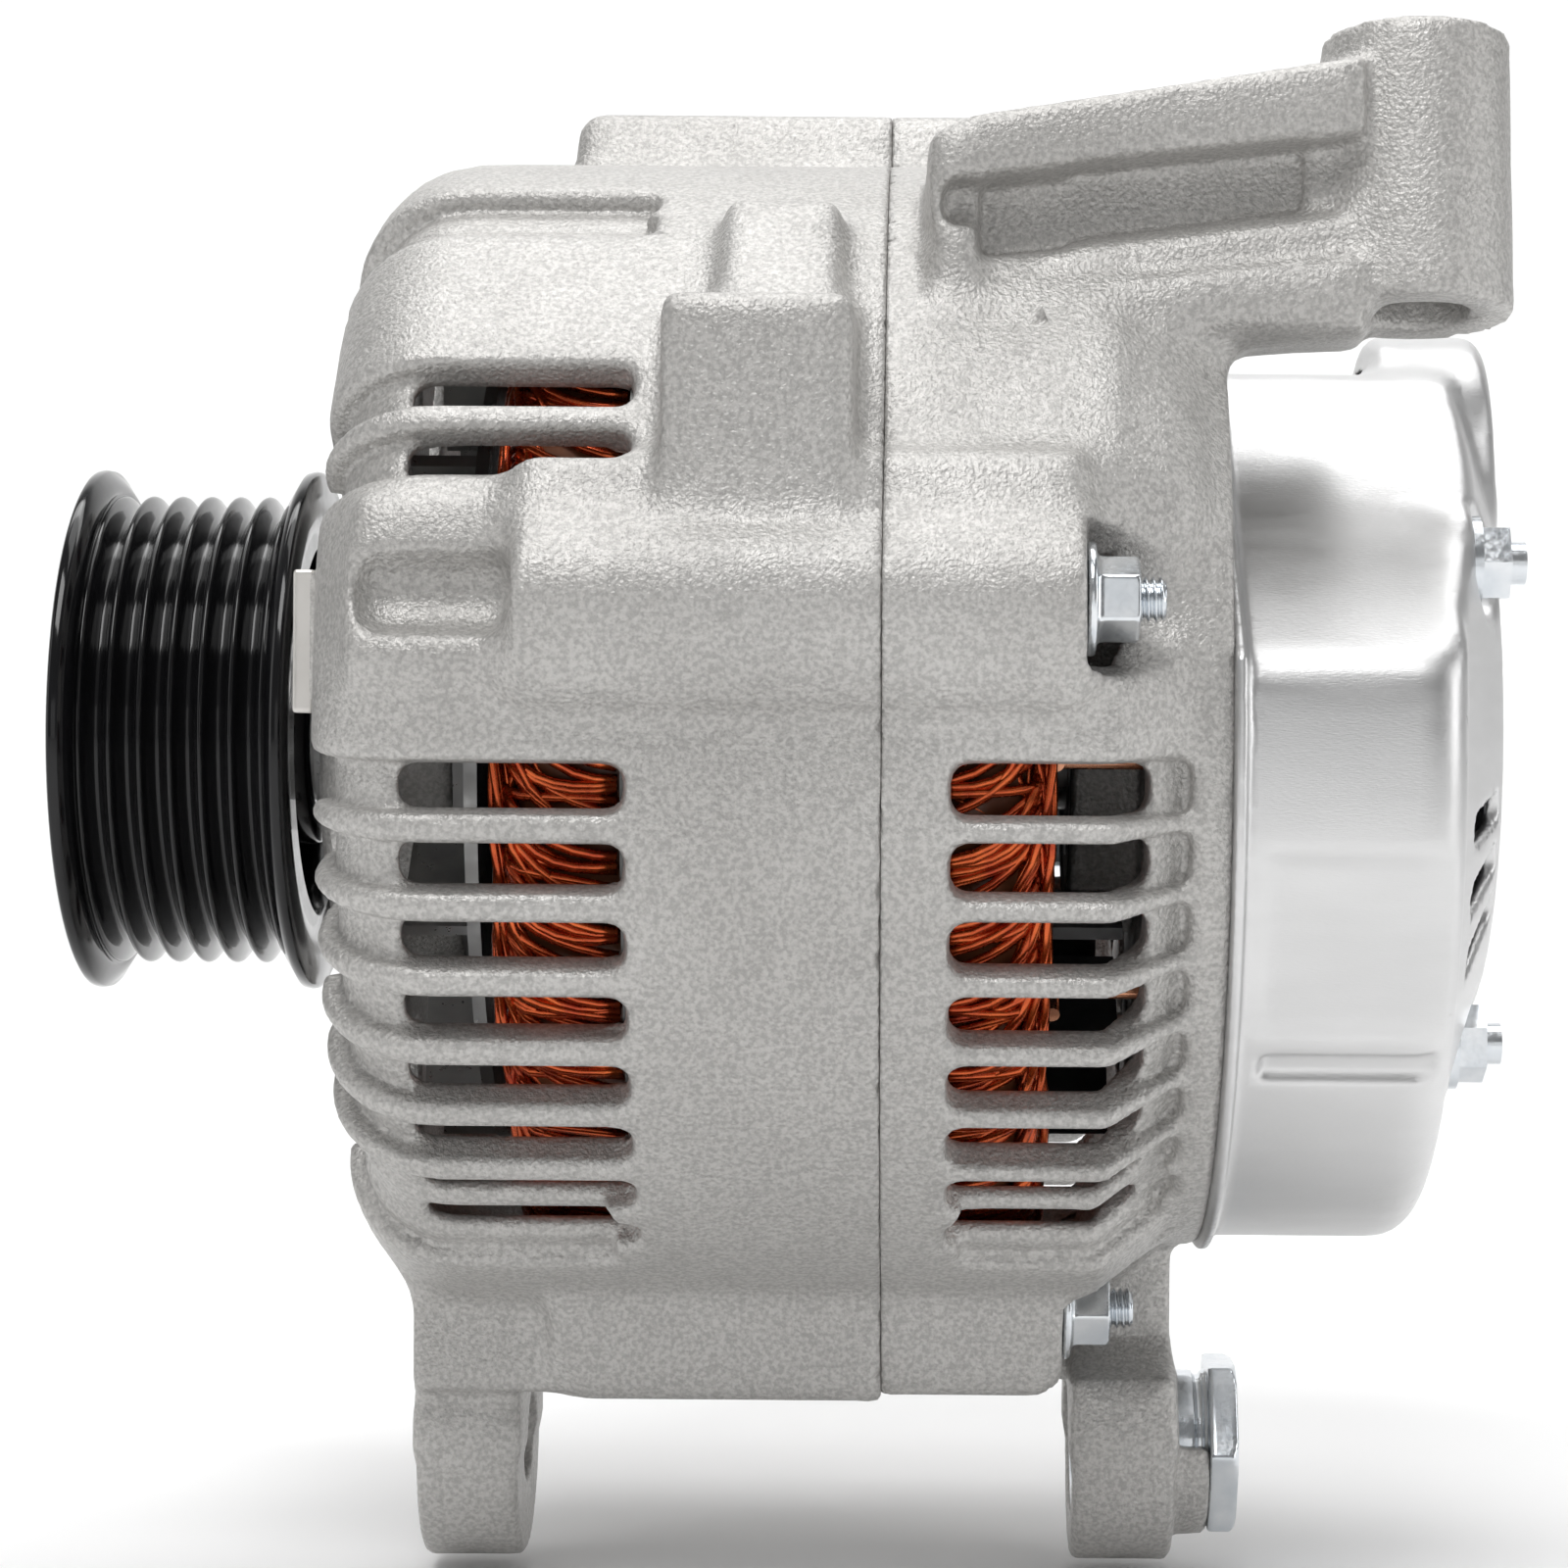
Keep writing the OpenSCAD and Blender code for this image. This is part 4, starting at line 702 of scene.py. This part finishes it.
def flange_nuts():
    """A hexagon flange nut on each through stud."""
    points, faces = [], []
    for n, a in enumerate(STUDS):
        y, z = out_place(a, STUD_R)
        s = Solid((20.9, y - 7, z - 7), (28.4, y + 7, z + 7), 0.22)
        s.add(rod(21.55, 22.6, 6.1, y, z, 0.4))
        s.add(hexagon(21.55, 27.2, 8.0, y, z, 0.25, 12 * n), 0.8)
        s.cut(rod(20, 30, 2.45, y, z), 0.3)
        grow_solid(s, points, faces)
    return make_mesh("flange_nut_set", points, faces)


def grow_solid(s, points, faces):
    """Adds a small solid's surface, in even cells, to lists of points and faces."""
    grid = vdb.FloatGrid(background=3 * s.step)
    grid.copyFromArray(np.clip(s.f, -3 * s.step, 3 * s.step))
    p, quads = grid.convertToQuads()
    first = len(points)
    points.extend(p * s.step + s.lo)
    faces.extend(tuple(int(i) + first for i in q[::-1]) for q in quads)


def stud_set(name, places, x0, x1, radius, pitch):
    """Threaded rods at several (angle, distance out) places, as one mesh."""
    points, faces = [], []
    for angle, r_out in places:
        p, f = threaded(x0, x1, radius, pitch, angle, r_out)
        first = len(points)
        points += p
        faces += [tuple(i + first for i in q) for q in f]
    return make_mesh(name, points, faces)


def pivot_bush():
    """The sliding bush: a ringed shank with a hexagon head, bored for the pivot bolt."""
    s = Solid((22.2, -13, -SHAFT_H - 13), (44.4, 13, -SHAFT_H + 13), 0.3)
    s.add(rod(23.4, 40.6, 8.75, 0, -SHAFT_H, 0.4))
    s.cut(both(rod(38.2, 39.2, 12, 0, -SHAFT_H), outside_rod(8.2)), 0.3)
    s.add(hexagon(39.8, 43.3, 20, 0, -SHAFT_H, 0.3, 90), 0.3)
    s.cut(rod(10, 60, PIVOT_R, 0, -SHAFT_H), 0.4)
    return s.mesh("pivot_bush_turned")


def outside_rod(radius):
    wide = [-200, -200, -200], [200, 200, 200]
    return wide[0], wide[1], lambda x, y, z: radius - np.sqrt(y * y + (z + SHAFT_H) ** 2) + 0 * x


# ---- Putting the pieces on the frame ----


def brush_spring(name, x):
    """A brush's coil spring, between the brush's top and the holder's roof."""
    turns, radius, wire = 6, 2.0, 0.35
    t = np.linspace(0, 1, 24 * turns + 1)
    a = 2 * math.pi * turns * t
    z = SPRING_LOW + wire + (SPRING_HIGH - SPRING_LOW - 2 * wire) * t
    points, faces = [], []
    path = np.stack([x + radius * np.cos(a), radius * np.sin(a), z], 1)
    tube(path, wire, 8, points, faces)
    return make_mesh(name, points, faces)


def dress(obj, material, body, slot, *stands_for):
    """Gives a piece its material and the body it rides, and hides the CAD nodes it stands for. The
    slot is not used.
    """
    obj.data.materials.clear()
    obj.data.materials.append(material)
    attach(obj, body)
    if stands_for:
        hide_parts(*stands_for)
    return obj


for end, x in (("front", FRONT_RING_X), ("rear", REAR_RING_X)):
    coil = dress(brush_spring(end + "_brush_coil", x), zinc, "housing", "spring_steel",
                 end + "_brush_spring")
    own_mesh(coil)

dress(front_housing(), cast, "housing", "cast_aluminium", "front_housing")
dress(rear_housing(), cast, "housing", "cast_aluminium", "rear_housing")
dress(rear_cover(), satin, "housing", "stamped_aluminium", "rear_cover")

face = Solid((-65.6, -53, 1.4), (-62, -38.8, 18.2), 0.2)
face.add(slab((-65.1, -52.5, 1.9), (-62.7, -39.3, 17.7), 0.4))
dress(face.mesh("front_lug_face"), machined, "housing", "cast_aluminium", "front_housing")
dress(pulley(), black_gloss, "rotor", "black_paint", "pulley")
dress(winding_core(), resin, "housing", "copper_wire", "stator_winding")
dress(end_turns("winding_front_turns", -28.2, -14.6, 3), copper_wire, "housing", "copper_wire",
      "stator_winding")
dress(end_turns("winding_rear_turns", 5.2, 14.0, 4), copper_wire, "housing", "copper_wire",
      "stator_winding")
dress(flange_nuts(), zinc, "housing", "zinc_steel", "flange_nuts")
dress(stud_set("through_stud_set", [(a, STUD_R) for a in STUDS], -35.5, 30.0, 2.45, 0.8), zinc,
      "housing", "zinc_steel", "through_studs")
dress(pivot_bush(), zinc, "pivot_bush", "zinc_steel", "pivot_bush")

# ---- Finishes of the pieces shown as the frame has them ----

SHOWN = {
    "stator_core": (stack_steel, "laminated_steel", 0.2),
    "slot_liners": (paper, "liner_paper", 0),
    "stator_leads": (bare_copper, "copper_wire", 0),
    "bearing_retainer": (steel, "bearing_steel", 0.2),
    "retainer_screws": (zinc, "zinc_steel", 0.2),
    "front_bearing_outer_ring": (steel, "bearing_steel", 0.2),
    "front_bearing_seals": (rubber, "seal_rubber", 0),
    "rear_bearing_outer_ring": (steel, "bearing_steel", 0.2),
    "rear_bearing_seals": (rubber, "seal_rubber", 0),
    "rear_bearing_sleeve": (plastic, "black_plastic", 0),
    "negative_rectifier_plate": (machined, "machined_aluminium", 0.3),
    "positive_rectifier_plate": (machined, "machined_aluminium", 0.3),
    "negative_diodes": (zinc, "zinc_steel", 0.3),
    "positive_diodes": (zinc, "zinc_steel", 0.3),
    "terminal_frame": (plastic, "black_plastic", 0.4),
    "regulator": (plastic, "black_plastic", 0.6),
    "brush_holder": (plastic, "black_plastic", 0.4),
    "slip_ring_guard": (plastic, "black_plastic", 0.2),
    "connector_shell": (plastic, "black_plastic", 0.5),
    "connector_pins": (zinc, "zinc_steel", 0.1),
    "output_insulator": (plastic, "black_plastic", 0.5),
    "rotor_shaft": (steel, "bearing_steel", 0.2),
    "front_pole": (pole_steel, "dark_steel", 0.4),
    "rear_pole": (pole_steel, "dark_steel", 0.4),
    "field_coil": (resin, "copper_wire", 0),
    "coil_bobbin": (plastic, "black_plastic", 0),
    "front_fan": (steel, "bearing_steel", 0),
    "rear_fan": (pole_steel, "dark_steel", 0),
    "slip_rings": (bare_copper, "slip_copper", 0),
    "slip_ring_insulator": (plastic, "black_plastic", 0),
    "pulley_spacer": (steel, "bearing_steel", 0.2),
    "front_bearing_inner_ring": (steel, "bearing_steel", 0.2),
    "rear_bearing_inner_ring": (steel, "bearing_steel", 0.2),
    "front_bearing_balls": (zinc, "bearing_steel", 0),
    "rear_bearing_balls": (zinc, "bearing_steel", 0),
    "front_bearing_cage": (bare_copper, "cage_brass", 0),
    "rear_bearing_cage": (bare_copper, "cage_brass", 0),
    "front_brush": (carbon, "carbon", 0.15),
    "rear_brush": (carbon, "carbon", 0.15),
    "stator_winding": (resin, "copper_wire", 0),
    "through_studs": (zinc, "zinc_steel", 0.2),
    "flange_nuts": (zinc, "zinc_steel", 0.2),
    "output_stud": (zinc, "zinc_steel", 0.3),
    "output_nut": (zinc, "zinc_steel", 0.3),
    "cover_studs": (zinc, "zinc_steel", 0.2),
    "cover_nuts": (zinc, "zinc_steel", 0.3),
    "pivot_bush": (zinc, "zinc_steel", 0.3),
    "pulley": (black_gloss, "black_paint", 0.2),
    "pulley_nut": (zinc, "zinc_steel", 0.4),
}
for name, (material, slot_name, bevel) in SHOWN.items():
    obj = nodes[name]
    if obj.hide_render:
        continue
    obj.data.materials.clear()
    obj.data.materials.append(material)
    if bevel:
        edge = obj.modifiers.new("edge", "BEVEL")
        edge.width, edge.segments = bevel * 0.001, 2
        edge.limit_method, edge.angle_limit = "ANGLE", math.radians(35)
        edge.harden_normals = False

# ---- Floor, light and camera ----


def wall_material():
    mat = bpy.data.materials.new("studio_white")
    bsdf = node_set(mat)[1]
    bsdf.inputs["Base Color"].default_value = (0.92, 0.92, 0.92, 1)
    bsdf.inputs["Roughness"].default_value = 0.9
    return mat


def sweep():
    """A pale floor that curves up into a backdrop."""
    path = [(-1.6, -0.0158)] + [(0.9 + 0.5 * math.sin(t), 0.4842 - 0.5 * math.cos(t))
                                for t in np.linspace(0, math.pi / 2, 16)] + [(1.4, 2.2)]
    points = [(x, y, z) for y, z in path for x in (-3.0, 3.0)]
    faces = [(2 * i, 2 * i + 1, 2 * i + 3, 2 * i + 2) for i in range(len(path) - 1)]
    mesh = bpy.data.meshes.new("studio_sweep")
    mesh.from_pydata(points, [], faces)
    mesh.polygons.foreach_set("use_smooth", [True] * len(faces))
    mesh.materials.append(wall_material())
    obj = bpy.data.objects.new("studio_sweep", mesh)
    bpy.context.scene.collection.objects.link(obj)
    return obj


def softbox(name, place, aim, width, height, power):
    """A rectangular light at a place, turned to the point it aims at, in metres and watts."""
    light = bpy.data.lights.new(name, "AREA")
    light.shape, light.size, light.size_y, light.energy = "RECTANGLE", width, height, power
    obj = bpy.data.objects.new(name, light)
    obj.location = place
    toward = np.array(aim, float) - np.array(place, float)
    obj.rotation_euler = Vector(toward).to_track_quat("-Z", "Y").to_euler()
    bpy.context.scene.collection.objects.link(obj)
    return obj


centre = (0.05, 0.0, 0.085)
sweep()
softbox("key", (-0.15, -0.62, 1.0), centre, 0.6, 0.5, 7.0)
softbox("left", (-1.1, -0.35, 0.35), centre, 0.5, 0.9, 1.6)
softbox("right", (1.15, -0.25, 0.35), centre, 0.5, 1.0, 3.2)
softbox("front", (0.05, -1.5, 0.1), centre, 1.0, 0.6, 1.2)
softbox("top", (0.1, 0.1, 1.2), centre, 0.9, 0.6, 4.0)
softbox("backdrop", (0.05, 0.55, 1.4), (0.05, 1.3, 0.3), 2.0, 0.6, 14)

world = bpy.data.worlds.new("studio")
world.use_nodes = True
world.node_tree.nodes["Background"].inputs["Color"].default_value = (1, 1, 1, 1)
world.node_tree.nodes["Background"].inputs["Strength"].default_value = 0.22
bpy.context.scene.world = world
bpy.context.scene.view_settings.view_transform = "Standard"
bpy.context.scene.view_settings.look = "None"

lens = bpy.data.cameras.new("camera")
lens.lens, lens.sensor_width = 89.2, 36
lens.shift_x, lens.shift_y = -0.0875, -0.03125
camera = bpy.data.objects.new("camera", lens)
camera.location = (0.05389, -0.480, 0.0870)
camera.rotation_euler = (math.pi / 2, math.radians(-0.45), 0)
bpy.context.scene.collection.objects.link(camera)
bpy.context.scene.camera = camera
